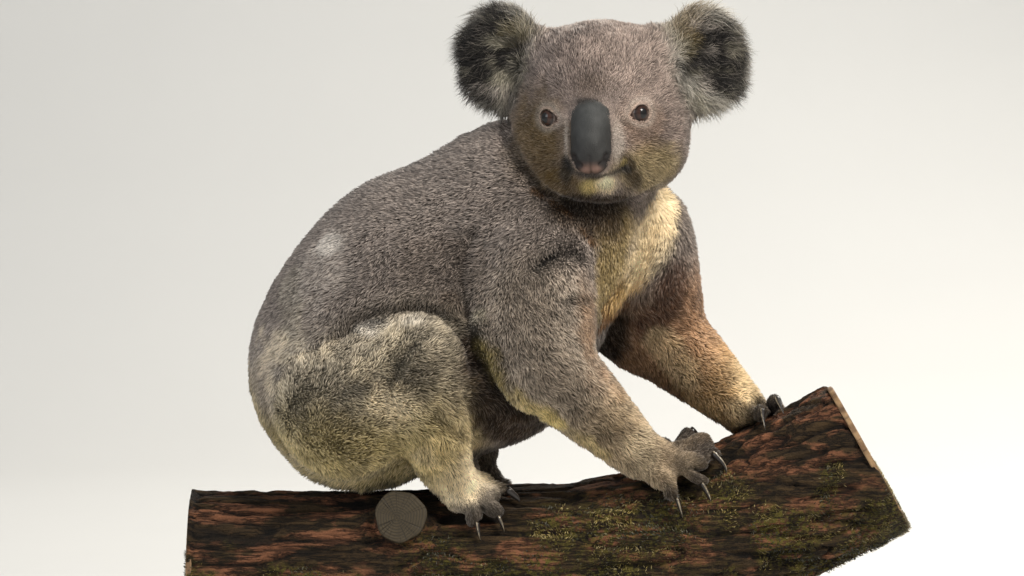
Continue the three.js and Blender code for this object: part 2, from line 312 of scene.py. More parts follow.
def copy_of(node):
    return add_object(node + "_copy", NODES[node].data.copy())


def melt(name, nodes, voxel, swell=0.0):
    take(*[copy_of(node) for node in nodes])
    if len(nodes) > 1:
        bpy.ops.object.join()
    piece = bpy.context.object
    piece.name = name
    piece.data.name = name
    piece.data.materials.clear()
    edit_all()
    bpy.ops.mesh.remove_doubles(threshold=1e-6)
    bpy.ops.transform.shrink_fatten(value=swell)
    bpy.ops.object.mode_set(mode="OBJECT")
    apply_modifier(piece, "REMESH", mode="VOXEL", voxel_size=voxel)
    return piece


skin = melt("skin", FLESH + ["nose", "eye_left", "eye_right"], SKIN_VOXEL, SWELL)
print("skin:", len(skin.data.polygons), "faces")


# %% Points, edges and smoothing
def points_of(piece):
    points = np.empty(len(piece.data.vertices) * 3)
    piece.data.vertices.foreach_get("co", points)
    return points.reshape(-1, 3)


def move_to(piece, points):
    piece.data.vertices.foreach_set("co", points.ravel())
    piece.data.update()


def normals_of(piece):
    normals = np.empty(len(piece.data.vertices) * 3, np.float32)
    piece.data.vertex_normals.foreach_get("vector", normals)
    return normals.reshape(-1, 3).astype(float)


def edges_of(piece):
    edges = np.empty(len(piece.data.edges) * 2, int)
    piece.data.edges.foreach_get("vertices", edges)
    return edges.reshape(-1, 2)


def averaged(values, edges, share, rounds):
    """Each value moves a share of the way to the mean of its neighbours', again and again."""
    a, b = edges.T
    values = np.array(values, float)
    flat = values.reshape(len(values), -1)
    count = np.bincount(edges.ravel(), minlength=len(flat))[:, None]
    share = np.asarray(share, float).reshape(-1, 1)
    for _ in range(rounds):
        total = np.stack(
            [
                np.bincount(a, column[b], len(flat)) + np.bincount(b, column[a], len(flat))
                for column in flat.T
            ],
            axis=1,
        )
        flat = flat + share * (total / count - flat)
    return flat.reshape(values.shape)


def unit(vectors):
    return vectors / np.maximum(np.linalg.norm(vectors, axis=-1, keepdims=True), 1e-12)


def dots(one, other):
    return (one * other).sum(axis=-1, keepdims=True)


def smoothstep(low, high, value):
    t = np.clip((value - low) / (high - low), 0, 1)
    return t * t * (3 - 2 * t)


def hill(distance, width):
    """1 at no distance, falling softly to nothing at about twice the width."""
    return np.exp(-((distance / width) ** 2))


# %% [markdown]
# ## Which part of the body is this?
#
# The coat changes from part to part: long on the ears, short on the face, finest on the toes. Each
# part is given a bone, a line through its solid, and a thickness. A point on the skin belongs most
# to the bone that it lies nearest to, measured in that bone's own thickness, so the coat changes
# gradually where two parts meet.

# %% Places on the solids
def middle(node):
    low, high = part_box(node)
    return np.array((low + high) / 2)


def corners(node):
    """The lowest and highest corners of a node's box, as arrays."""
    low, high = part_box(node)
    return np.array(low), np.array(high)


def places_of(node):
    """Where the corners of a solid's faces are."""
    solid = NODES[node]
    return np.array([solid.matrix_world @ vertex.co for vertex in solid.data.vertices])


def spot(node, x, y, z):
    """A place in a node's box: 0 is its low side and 1 its high side, along each axis."""
    low, high = corners(node)
    return low + (high - low) * (x, y, z)


def meeting(one, other):
    """The middle of what two nodes' boxes share, which is close to the joint between them."""
    (low_a, high_a), (low_b, high_b) = corners(one), corners(other)
    return (np.maximum(low_a, low_b) + np.minimum(high_a, high_b)) / 2


# %% Bones
def limb_bones(side):
    outer = 0.6 if side == "left" else 0.4
    shoulder = meeting("trunk", "upper_arm_" + side)
    elbow = meeting("upper_arm_" + side, "forearm_" + side)
    wrist = meeting("forearm_" + side, "hand_" + side)
    hip = spot("thigh_" + side, 0.3, 0.5, 0.45)
    knee = spot("thigh_" + side, 0.8, outer, 0.65)
    ankle = meeting("shank_" + side, "foot_" + side)
    toes = (middle(f"claw_foot_{side}_1") + middle(f"claw_foot_{side}_2")) / 2
    thumbs = (middle(f"claw_hand_{side}_4") + middle(f"claw_hand_{side}_5")) / 2
    ear = [spot("ear_" + side, 0.5, 0.5, height) for height in (0.4, 0.75)]
    return {
        "upper_arm_" + side: (shoulder, elbow, 48 * MM),
        "forearm_" + side: (elbow, wrist, 34 * MM),
        "hand_" + side: (wrist, middle(f"claw_hand_{side}_3"), 26 * MM),
        "thumb_" + side: ((wrist + middle(f"claw_hand_{side}_3")) / 2, thumbs, 22 * MM),
        "thigh_" + side: (hip, knee, 54 * MM),
        "shank_" + side: (knee, ankle, 34 * MM),
        "foot_" + side: (ankle, toes, 26 * MM),
        "ear_" + side: (*ear, 34 * MM),
    }


BONES = {
    "head": (spot("head", 0.5, 0.4, 0.35), spot("head", 0.5, 0.55, 0.6), 68 * MM),
    "neck": (middle("neck"), spot("neck", 0.4, 0.5, 0.3), 66 * MM),
    "trunk": (spot("trunk", 0.75, 0.5, 0.65), spot("trunk", 0.3, 0.5, 0.3), 98 * MM),
    **limb_bones("left"),
    **limb_bones("right"),
}


def share_along(points, start, end):
    """How far along a line each point lies, from 0 at its start to 1 at its end."""
    along = end - start
    return np.clip((points - start) @ along / (along @ along), 0, 1)


def distance_to(points, start, end):
    nearest = start + share_along(points, start, end)[:, None] * (end - start)
    return np.linalg.norm(points - nearest, axis=1)


def nearest_of(points, places):
    """How far each point is from the nearest of these places."""
    return np.min([np.linalg.norm(points - place, axis=1) for place in places], axis=0)


def distance_to_path(points, path):
    return np.min([distance_to(points, a, b) for a, b in zip(path, path[1:])], axis=0)


def belonging(points):
    """How much each point belongs to each bone. Each row adds up to 1."""
    near = np.stack([distance_to(points, a, b) / thick for a, b, thick in BONES.values()], axis=1)
    weight = np.exp(-7 * (near - near.min(axis=1, keepdims=True)))
    return weight / weight.sum(axis=1, keepdims=True)


def part_of(bone):
    return bone.replace("_left", "").replace("_right", "")


def share_of(points, part):
    mine = [part_of(bone) == part for bone in BONES]
    return belonging(points)[:, mine].sum(axis=1)


print("bones:", len(BONES))

# %% [markdown]
# ## A frame for the face
#
# The face is measured from the middle between the eyes, in millimetres: left is the animal's own
# left, up is towards the crown, and forward is the way that it looks.

# %% Face frame
EYES = {side: middle("eye_" + side) for side in SIDES}
BETWEEN_EYES = (EYES["left"] + EYES["right"]) / 2
LEFT = unit(EYES["left"] - EYES["right"])
FORWARD = unit(np.cross(LEFT, (0, 0, 1)))
UP = np.cross(FORWARD, LEFT)
FACE_AXES = np.stack([LEFT, FORWARD, UP])


def on_face(points):
    """Points as millimetres left, forward and up from the middle between the eyes."""
    return (points - BETWEEN_EYES) @ FACE_AXES.T / MM


def at_face(left, forward, up):
    return BETWEEN_EYES + np.array((left, forward, up)) @ FACE_AXES * MM


def face_path(*places):
    return np.array([at_face(*place) for place in places])


def tree_of(points):
    """A search tree. Its find gives the point nearest to a place, its index and its distance."""
    tree = KDTree(len(points))
    for index, point in enumerate(points):
        tree.insert(point, index)
    tree.balance()
    return tree


print("face: middle between the eyes", np.round(BETWEEN_EYES, 3))

# %% [markdown]
# ## The coat's table
#
# One row for each part: how deep the coat is over the skin, how long and wide a tuft is, how many
# stand on a square centimetre, and how much the melted solids are smoothed there. Near the nose and
# eyes the coat is shorter, finer and closer.

# %% Coat by part
#             depth length width per cm2 smooth
COAT = {
    "head": (3.6, 5.4, 0.74, 136, 8),
    "ear": (4.0, 14, 0.7, 96, 10),
    "neck": (5.5, 6.8, 1.02, 70, 22),
    "trunk": (5.5, 6.6, 1.06, 66, 30),
    "upper_arm": (5.0, 6.4, 1.0, 80, 16),
    "forearm": (4.8, 6.2, 0.96, 84, 12),
    "hand": (1.5, 3.2, 0.7, 150, 1),
    "thumb": (1.5, 3.0, 0.7, 150, 1),
    "thigh": (5.0, 6.6, 1.04, 74, 18),
    "shank": (4.8, 6.2, 1.0, 80, 10),
    "foot": (1.6, 3.5, 0.7, 150, 1),
}
#             the same, at the edge of the nose and eyes
FACE_COAT = (0.9, 2.6, 0.6, 190, 4)
FACE_REACH = 26 * MM
HEAD_REACH = 90 * MM  # from between the eyes: what is farther is too far from nose and eyes
PER_SQUARE_METRE = 1e4  # turns a count for each square centimetre into one for each square metre
FACE_FEATURES = tree_of(np.concatenate([places_of(node) for node in ("nose", "eye_left", "eye_right")]))


def coat_at(points):
    """Depth, length, width and count per square metre of the coat, and the rounds of smoothing."""
    table = np.array([COAT[part_of(bone)] for bone in BONES], float)
    coat = belonging(points) @ table
    near = np.flatnonzero(np.linalg.norm(points - BETWEEN_EYES, axis=1) < HEAD_REACH)
    distance = np.full(len(points), 1.0)
    distance[near] = [FACE_FEATURES.find(point)[2] for point in points[near]]
    far = smoothstep(1 * MM, FACE_REACH, distance)[:, None]
    coat = FACE_COAT + far * (coat - FACE_COAT)
    depth, length, width, count, smooth = coat.T
    return depth * MM, length * MM, width * MM, count * PER_SQUARE_METRE, smooth


# %% [markdown]
# ## Shaping the skin
#
# The facets are smoothed away, but not the creases where one part folds against another: wherever
# smoothing has filled a hollow by more than a hair, the filling is taken out again. Then the skin
# is drawn in by the depth of the coat, because the solids reach to the coat's tips. The ears are
# drawn in most, towards their roots, since their hair is longest.

# %% Smooth the skin and draw it in
CREASE_KEPT = 0.8 * MM
EAR_DRAWN_IN = 0.18
MOST_ROUNDS = 36  # of smoothing
ROUNDS_AT_ONCE = 4
EAR_ROOTS = {side: meeting("ear_" + side, "head") for side in SIDES}


def smooth_skin():
    before = points_of(skin)
    points = before
    edges = edges_of(skin)
    rounds = coat_at(points)[4]
    for step in range(0, MOST_ROUNDS, ROUNDS_AT_ONCE):
        share = 0.5 * smoothstep(step - ROUNDS_AT_ONCE, step + ROUNDS_AT_ONCE, rounds)
        points = averaged(points, edges, share, ROUNDS_AT_ONCE)
    move_to(skin, points)
    out = normals_of(skin)
    filled = dots(points - before, out)
    excess = averaged(np.maximum(filled - CREASE_KEPT, 0), edges, 0.5, 2)
    move_to(skin, points - out * excess)


def draw_in():
    points = points_of(skin)
    edges = edges_of(skin)
    depth = averaged(coat_at(points)[0], edges, 0.5, 10)
    points = points - normals_of(skin) * depth[:, None]
    for side, root in EAR_ROOTS.items():
        share = belonging(points)[:, list(BONES).index("ear_" + side), None]
        points = points + EAR_DRAWN_IN * share * (root - points)
    move_to(skin, averaged(points, edges, 0.4, 2))


smooth_skin()
draw_in()
skin.data.shade_smooth()
print("skin: drawn in, box", np.round(points_of(skin).min(0), 3), np.round(points_of(skin).max(0), 3))

# %% [markdown]
# ## Folds
#
# Loose skin folds where a limb bends, and sinks where the arm lies over the flank, the thigh over
# the belly and the jaw over the shoulder. Each fold is a short path on the body. The skin is pressed
# in along it, and swells a little on both sides. Deep in a fold the coat is thin, and shade is painted on
# it.

# %% Folds
def path_in(node, *places):
    return np.array([spot(node, *place) for place in places])


FLANK_UNDER_ARM = path_in(
    "trunk",
    (0.55, 0.04, 0.49), (0.58, 0.05, 0.4), (0.62, 0.06, 0.34), (0.67, 0.1, 0.27), (0.71, 0.16, 0.22),
)
#             path, how wide and how deep in millimetres, and how much shade is painted in it
FOLDS = [
    (path_in("trunk", (0.72, 0.01, 0.61), (0.75, 0.02, 0.63), (0.78, 0.04, 0.65), (0.83, 0.09, 0.64)),
     4.4, 6, 1.0),
    (path_in("trunk", (0.79, 0.01, 0.53), (0.82, 0.04, 0.53), (0.84, 0.09, 0.53)), 3.2, 3, 0.8),
    (path_in("trunk", (0.57, 0.08, 0.7), (0.55, 0.05, 0.63), (0.55, 0.03, 0.55), (0.56, 0.02, 0.49)),
     4, 6, 0.6),
    (path_in("trunk", (0.58, 0.06, 0.46), (0.61, 0.06, 0.39), (0.66, 0.05, 0.32), (0.72, 0.06, 0.27)),
     7, -4, 0),
    (FLANK_UNDER_ARM, 6, 9, 0.8),
    (path_in("trunk", (0.24, 0.05, 0.43), (0.27, 0.04, 0.47), (0.34, 0.03, 0.5), (0.42, 0.02, 0.51)),
     4, 5, 0.5),
    (path_in("trunk", (0.42, 0.02, 0.51), (0.49, 0.01, 0.49), (0.54, 0, 0.43), (0.56, 0.02, 0.35)),
     5, 8, 0.75),
    (path_in("trunk", (0.66, 0.32, 0.97), (0.67, 0.18, 0.91), (0.71, 0.14, 0.85), (0.76, 0.11, 0.8)),
     6, 6, 0.55),
    (path_in("trunk", (0.76, 0.11, 0.8), (0.83, 0.11, 0.77), (0.93, 0.17, 0.78), (1.0, 0.14, 0.81)),
     6, 7, 0.7),
    (path_in("trunk", (0.955, 0.39, 0.61), (0.915, 0.32, 0.555), (0.885, 0.27, 0.5)), 4, 6, 0.9),
    (path_in("thigh_right", (0.8, 0.14, 0.9), (0.72, 0.13, 0.82), (0.64, 0.14, 0.7), (0.6, 0.16, 0.6)),
     3, 3, 0.7),
    (path_in("thigh_right", (0.74, 0.14, 0.92), (0.66, 0.16, 0.82), (0.6, 0.18, 0.74)), 2.6, 2, 0.45),
    (path_in("shank_right", (0.55, 0.0, 0.62), (0.9, 0.35, 0.5)), 4, 3, 0.4),
]
FOLD_STEP = 4 * MM


def lay_on_skin(paths):
    """The same paths, drawn finely on the skin itself."""
    tree = tree_of(points_of(skin))
    laid = []
    for path in paths:
        fine = [path[0]]
        for a, b in zip(path, path[1:]):
            steps = max(1, round(np.linalg.norm(b - a) / FOLD_STEP))
            fine += [a + (b - a) * k / steps for k in range(1, steps + 1)]
        on_skin = np.array([tree.find(point)[0] for point in fine])
        moved = np.linalg.norm(np.diff(on_skin, axis=0), axis=1) > 0.1 * MM
        laid.append(on_skin[np.append(True, moved)])
    return laid


FOLD_LINES = lay_on_skin([path for path, *_ in FOLDS])


def fold_skin():
    points = points_of(skin)
    out = normals_of(skin)
    for line, (_, width, depth, _) in zip(FOLD_LINES, FOLDS):
        near = distance_to_path(points, line) / MM
        pressed = depth * hill(near, width) - 0.2 * depth * hill(near - 2.2 * width, width)
        points = points - out * (pressed * MM)[:, None]
    move_to(skin, averaged(points, edges_of(skin), 0.3, 1))


def fold_share(points, wider):
    """1 deep in a fold, where the most shade is painted. Wider than 1 also takes in the coat beside it."""
    return np.max(
        [
            dark * hill(distance_to_path(points, line), wider * width * MM)
            for line, (_, width, _, dark) in zip(FOLD_LINES, FOLDS)
        ],
        axis=0,
    )


fold_skin()
print("folds:", len(FOLDS))

# %% [markdown]
# ## Toes and face
#
# The melting closed the gaps between the toes, so the skin is drawn in round each toe's own middle
# line, which parts them again. It is first given smaller faces there, and over the front of the
# face. Each eye then gets an almond opening with a rounded lid that rests on the eyeball, and an
# inner corner drawn out towards the nose. The mouth is a soft groove under the nose, over a small
# round chin.

# %% Toes and fingers
PAWS = [f"{end}_{side}" for end in ("hand", "foot") for side in SIDES]
TOE_THICKNESS = 7.6  # half of a toe's, under its hair, in millimetres


def claw_line(node):
    """Three points of a claw's curve, from its root through its bend to its tip."""
    points = places_of(node)
    paw = middle(node.removeprefix("claw_").rsplit("_", 1)[0])
    order = np.argsort(np.linalg.norm(points - paw, axis=1))
    root = points[order[: max(3, len(order) // 4)]].mean(axis=0)
    tip = points[np.argmax(np.linalg.norm(points - root, axis=1))]
    t = (points - root) @ unit(tip - root) / np.linalg.norm(tip - root)
    bend = points[(t > 0.3) & (t < 0.75)]
    bend = bend.mean(axis=0) if len(bend) else (root + tip) / 2
    return root, 2 * bend - (root + tip) / 2, tip


def toes_of(paw):
    """For each claw of a paw, the line from the palm along its toe to the claw's root."""
    roots = [claw_line(node)[0] for node in NODES if node.startswith("claw_" + paw)]
    joint = meeting(paw.replace("hand", "forearm").replace("foot", "shank"), paw)
    palm = (joint + np.mean(roots[:3], axis=0)) / 2
    return [(root + 0.8 * (palm - root), root) for root in roots]


TOES = {paw: toes_of(paw) for paw in PAWS}


def toe_places(points, paw):
    """How far points are from the nearest toe's line and from the next, and how far along it."""
    away = np.stack([distance_to(points, *line) for line in TOES[paw]]) / MM
    along = np.stack([share_along(points, *line) for line in TOES[paw]])
    order = np.argsort(away, axis=0)
    nearest, following = np.take_along_axis(away, order[:2], axis=0)
    return nearest, following, np.take_along_axis(along, order[:1], axis=0)[0], order[0]


def slim_toes(points, paw):
    """Draws the skin in round each toe's middle line, and back to the palm between the toes."""
    away, next_away, along, toe = toe_places(points, paw)
    ends = np.array(TOES[paw])[toe]
    nearest = ends[:, 0] + along[:, None] * (ends[:, 1] - ends[:, 0])
    share = smoothstep(0.05, 0.5, along) * (1 - smoothstep(19, 26, away))
    thick = TOE_THICKNESS * (1.1 - 0.15 * smoothstep(0.4, 1.0, along))
    drawn = share * np.maximum(0, 1 - thick / np.maximum(away, 1))
    between = hill(next_away - away, 3.5) * (1 - smoothstep(19, 26, away))
    back = between * np.maximum(0, along - 0.3)
    return points + drawn[:, None] * (nearest - points) - back[:, None] * (ends[:, 1] - ends[:, 0])


def toe_gaps(points, width=2.4):
    """1 midway between two neighbouring toes."""
    gaps = np.zeros(len(points))
    for paw in PAWS:
        away, next_away, along, _ = toe_places(points, paw)
        near = (1 - smoothstep(17, 24, away)) * smoothstep(0.15, 0.4, along)
        gaps = np.maximum(gaps, near * hill(next_away - away, width))
    return gaps


def toe_tips(points):
    """0 on the palm, rising to 1 at the toes' ends."""
    tips = np.zeros(len(points))
    for paw in PAWS:
        away, _, along, _ = toe_places(points, paw)
        tips = np.maximum(tips, (1 - smoothstep(13, 19, away)) * smoothstep(0.15, 0.7, along))
    return tips


# %% Smaller faces where the face and toes need them
def refine(piece, wanted):
    """Divides the faces whose middles are wanted into four."""
    mesh = piece.data
    centres = np.empty(len(mesh.polygons) * 3)
    mesh.polygons.foreach_get("center", centres)
    take(piece)
    bpy.ops.object.mode_set(mode="EDIT")
    bpy.ops.mesh.select_all(action="DESELECT")
    bpy.ops.mesh.select_mode(type="FACE")
    bpy.ops.object.mode_set(mode="OBJECT")
    mesh.polygons.foreach_set("select", wanted(centres.reshape(-1, 3)))
    bpy.ops.object.mode_set(mode="EDIT")
    bpy.ops.mesh.subdivide(number_cuts=1)
    bpy.ops.mesh.select_mode(type="VERT")
    bpy.ops.object.mode_set(mode="OBJECT")


def on_front_of_face(points):
    left, forward, up = on_face(points).T
    return (forward > -22) & (np.abs(left) < 62) & (np.abs(up + 22) < 56)


def near_an_eye(points):
    return nearest_of(points, EYES.values()) < 15 * MM


def on_a_paw(points):
    return np.min([toe_places(points, paw)[0] for paw in PAWS], axis=0) < 18


refine(skin, on_front_of_face)
refine(skin, near_an_eye)
refine(skin, on_a_paw)
print("skin:", len(skin.data.polygons), "faces with the face refined")

# %% Eyes' openings
EYE_RADIUS = 8.9  # of the ball, in millimetres
EYE_WIDE = 7.3  # half the opening, across
EYE_HIGH = 6.9  # and up
CORNER = 3.4  # how far the inner corner is drawn out
LID = 0.9  # thickness over the ball


def eye_axes(side):
    """Towards the nose, up, and the way the eye looks."""
    outward = SIDES[side] * LEFT
    gaze = unit(0.6 * outward + 0.8 * FORWARD)
    return np.stack([unit(gaze * (gaze @ outward) - outward), UP, gaze])


def in_eye(points, side):
    """Points as millimetres inward, up and out from the middle of an eye."""
    return (points - EYES[side]) @ eye_axes(side).T / MM


def past_opening(inward, up):
    """How far, in millimetres, a place lies outside the edge of an eye's opening."""
    turn = np.arctan2(up + 0.25 * inward, inward)
    reach = np.hypot(EYE_WIDE * np.cos(turn), EYE_HIGH * np.sin(turn))
    return np.hypot(inward, up) - reach - CORNER * hill(turn, 0.42) + 0.6 * hill(turn - 3.1, 0.5)


def open_eye(points, side):
    inward, up, out = in_eye(points, side).T
    outside = past_opening(inward, up)
    from_middle = np.hypot(inward, up)
    ball = np.sqrt(np.maximum(EYE_RADIUS**2 - np.minimum(from_middle, EYE_RADIUS * 0.93) ** 2, 0))
    brow = 0.7 * smoothstep(0, 6, up)
    lid = ball + LID + brow + 0.35 * hill(outside - 1.2, 1.0)
    sunk = ball - 2.4
    level = np.where(outside < 0, sunk, lid)
    hold = (1 - smoothstep(2.2, 11, outside)) * (out > -7)
    moved = hold * (level - out)
    return points + moved[:, None] * eye_axes(side)[2] * MM


# %% Mouth and chin
MOUTH = face_path((-25, 0, -35), (-19, 0, -45), (-3, 0, -51), (12, 0, -49), (24, 0, -42))
CHIN = at_face(3, 22, -58)
BEHIND_NOSE = 6.0  # how far the skin is sunk there, so that the nostrils can be deep


def flat_distance(points, path):
    """Distance from a path, seen from the front of the face, in millimetres."""
    flat = on_face(points) * (1, 0, 1)
    return distance_to_path(flat, on_face(path) * (1, 0, 1))


def across_nose(points):
    """0 in the middle of the nose pad and 1 at its edge, seen from the front."""
    left, forward, up = on_face(points).T
    across = np.hypot((left + 3.2) / 17.5, (up + 20) / 29.5)
    return np.where(forward > 2, across, 2)


def shape_mouth(points, out):
    front = smoothstep(-20, -4, on_face(points)[:, 1])
    groove = 2.2 * hill(flat_distance(points, MOUTH), 2.4) * front
    chin = 3.8 * hill(np.linalg.norm(points - CHIN, axis=1) / MM, 12) * front
    sunk = BEHIND_NOSE * (1 - smoothstep(0.88, 1.02, across_nose(points)))
    return points + out * ((chin - groove) * MM)[:, None] - np.outer(sunk * MM, FORWARD)


points = shape_mouth(points_of(skin), normals_of(skin))
for paw in PAWS:
    points = slim_toes(points, paw)
move_to(skin, averaged(points, edges_of(skin), 0.4, 2))
for side in SIDES:
    move_to(skin, open_eye(points_of(skin), side))
print("face: eyes opened, mouth pressed in")

# %% [markdown]
# ## Soft noise
#
# Fur is never even: it clumps, turns and fades. One smooth noise, the same each time the script
# runs, bends the lie of the coat, mottles its colour and roughens the bark.


# %% Noise
def noise(points, size, seed=0):
    """Smooth noise from -1 to 1, in lumps about that size."""
    table = np.random.default_rng(seed).uniform(-1, 1, 4096)
    at = np.asarray(points) / size
    cell = np.floor(at).astype(np.int64)
    t = at - cell
    t = t * t * (3 - 2 * t)
    value = 0
    for corner in np.ndindex(2, 2, 2):
        share = np.prod(np.where(corner, t, 1 - t), axis=1)
        i, j, k = (cell + corner).T
        value = value + share * table[(i * 73856093 ^ j * 19349663 ^ k * 83492791) & 4095]
    return value


def rough_noise(points, size, seed=0, octaves=3):
    return sum(noise(points, size / 2**k, seed + k) / 2**k for k in range(octaves)) / 1.6


# %% [markdown]
# ## The lie of the coat
#
# Hair grows away from the nose over the whole head, back along the trunk and down each limb to the
# toes. Each bone gives its direction, and the mix is laid flat on the skin. On the ears it streams
# out from the root. Neighbouring hairs turn the same way, which gathers them into locks.

# %% Lie
NOSE = middle("nose")


def direction_along(bone, points):
    start, end, _ = BONES[bone]
    if bone == "head":
        return unit(points - NOSE)
    if bone.startswith("ear"):
        side = bone.removeprefix("ear_")
        spread_out = unit(points - EAR_ROOTS[side] - 12 * MM * FORWARD)
        return unit(spread_out + (0, 0, -0.22) + 0.25 * SIDES[side] * LEFT)
    if bone == "neck":
        return unit(unit(points - NOSE) + (-0.6, 0, -0.4))
    if bone == "trunk":
        return np.broadcast_to(unit(np.array((-0.75, 0, -0.65))), points.shape)
    return np.broadcast_to(unit(end - start), points.shape)


def lie_at(points, normals):
    flow = sum(
        weight[:, None] * direction_along(bone, points)
        for weight, bone in zip(belonging(points).T, BONES)
    )
    flow = unit(flow - normals * dots(flow, normals))
    turn = np.radians(30) * noise(points, 26 * MM, 5)[:, None]
    return np.cos(turn) * flow + np.sin(turn) * np.cross(normals, flow)


# %% [markdown]
# ## Markings
#
# The coat is a pepper-and-salt grey. It is yellower under the rump and along the lower edges, pale
# on the chest and chin, and the hindquarters are clouded. Shade is painted in dark brown inside the
# far arm, on the belly and under the chin, and highlights in pale and white on the back, the thigh's
# top and the far forearm's edge. Each part has its own base colour, and each mark is a soft patch, or
# a band along a path, with a size in millimetres, a colour and a strength. Skin and tufts ask the
# same function, so they always agree.

# %% Base colours
def blend(colour, share, tint):
    """Moves each row of a table of colours that share of the way towards a tint."""
    colour += share[:, None] * (tint - colour)


BASE_COLOURS = {
    "head": shade(170, 152, 142),
    "ear_left": shade(92, 82, 76),
    "ear_right": shade(84, 76, 72),
    "neck": shade(118, 104, 88),
    "trunk": shade(154, 141, 132),
    "upper_arm_right": shade(184, 168, 150),
    "upper_arm_left": shade(190, 146, 110),
    "forearm_right": shade(192, 168, 134),
    "forearm_left": shade(212, 174, 120),
    "hand_right": shade(172, 150, 120),
    "hand_left": shade(120, 96, 74),
    "thumb_right": shade(96, 82, 66),
    "thumb_left": shade(100, 84, 68),
    "thigh_right": shade(172, 160, 138),
    "thigh_left": shade(140, 128, 108),
    "shank_right": shade(232, 208, 156),
    "shank_left": shade(120, 108, 90),
    "foot_right": shade(176, 162, 144),
    "foot_left": shade(120, 110, 96),
}
WHITE = shade(236, 230, 220)
CREAM = shade(250, 230, 192)
BUFF = shade(232, 206, 160)
GOLD = shade(226, 184, 116)
CHEST = shade(186, 160, 104)
TAN = shade(186, 144, 106)
PALE = shade(206, 194, 182)
ASH = shade(182, 174, 152)
STRAW = shade(228, 220, 182)
YELLOW = shade(222, 198, 124)
OLIVE = shade(160, 144, 96)
OLIVE_BROWN = shade(122, 96, 46)
BROWN = shade(96, 74, 50)
RUST = shade(150, 104, 58)
MAROON = shade(84, 50, 30)
DARK_BROWN = shade(60, 40, 16)
BLACK = shade(24, 22, 21)
PINK = shade(190, 140, 122)
LID_PINK = shade(214, 188, 172)

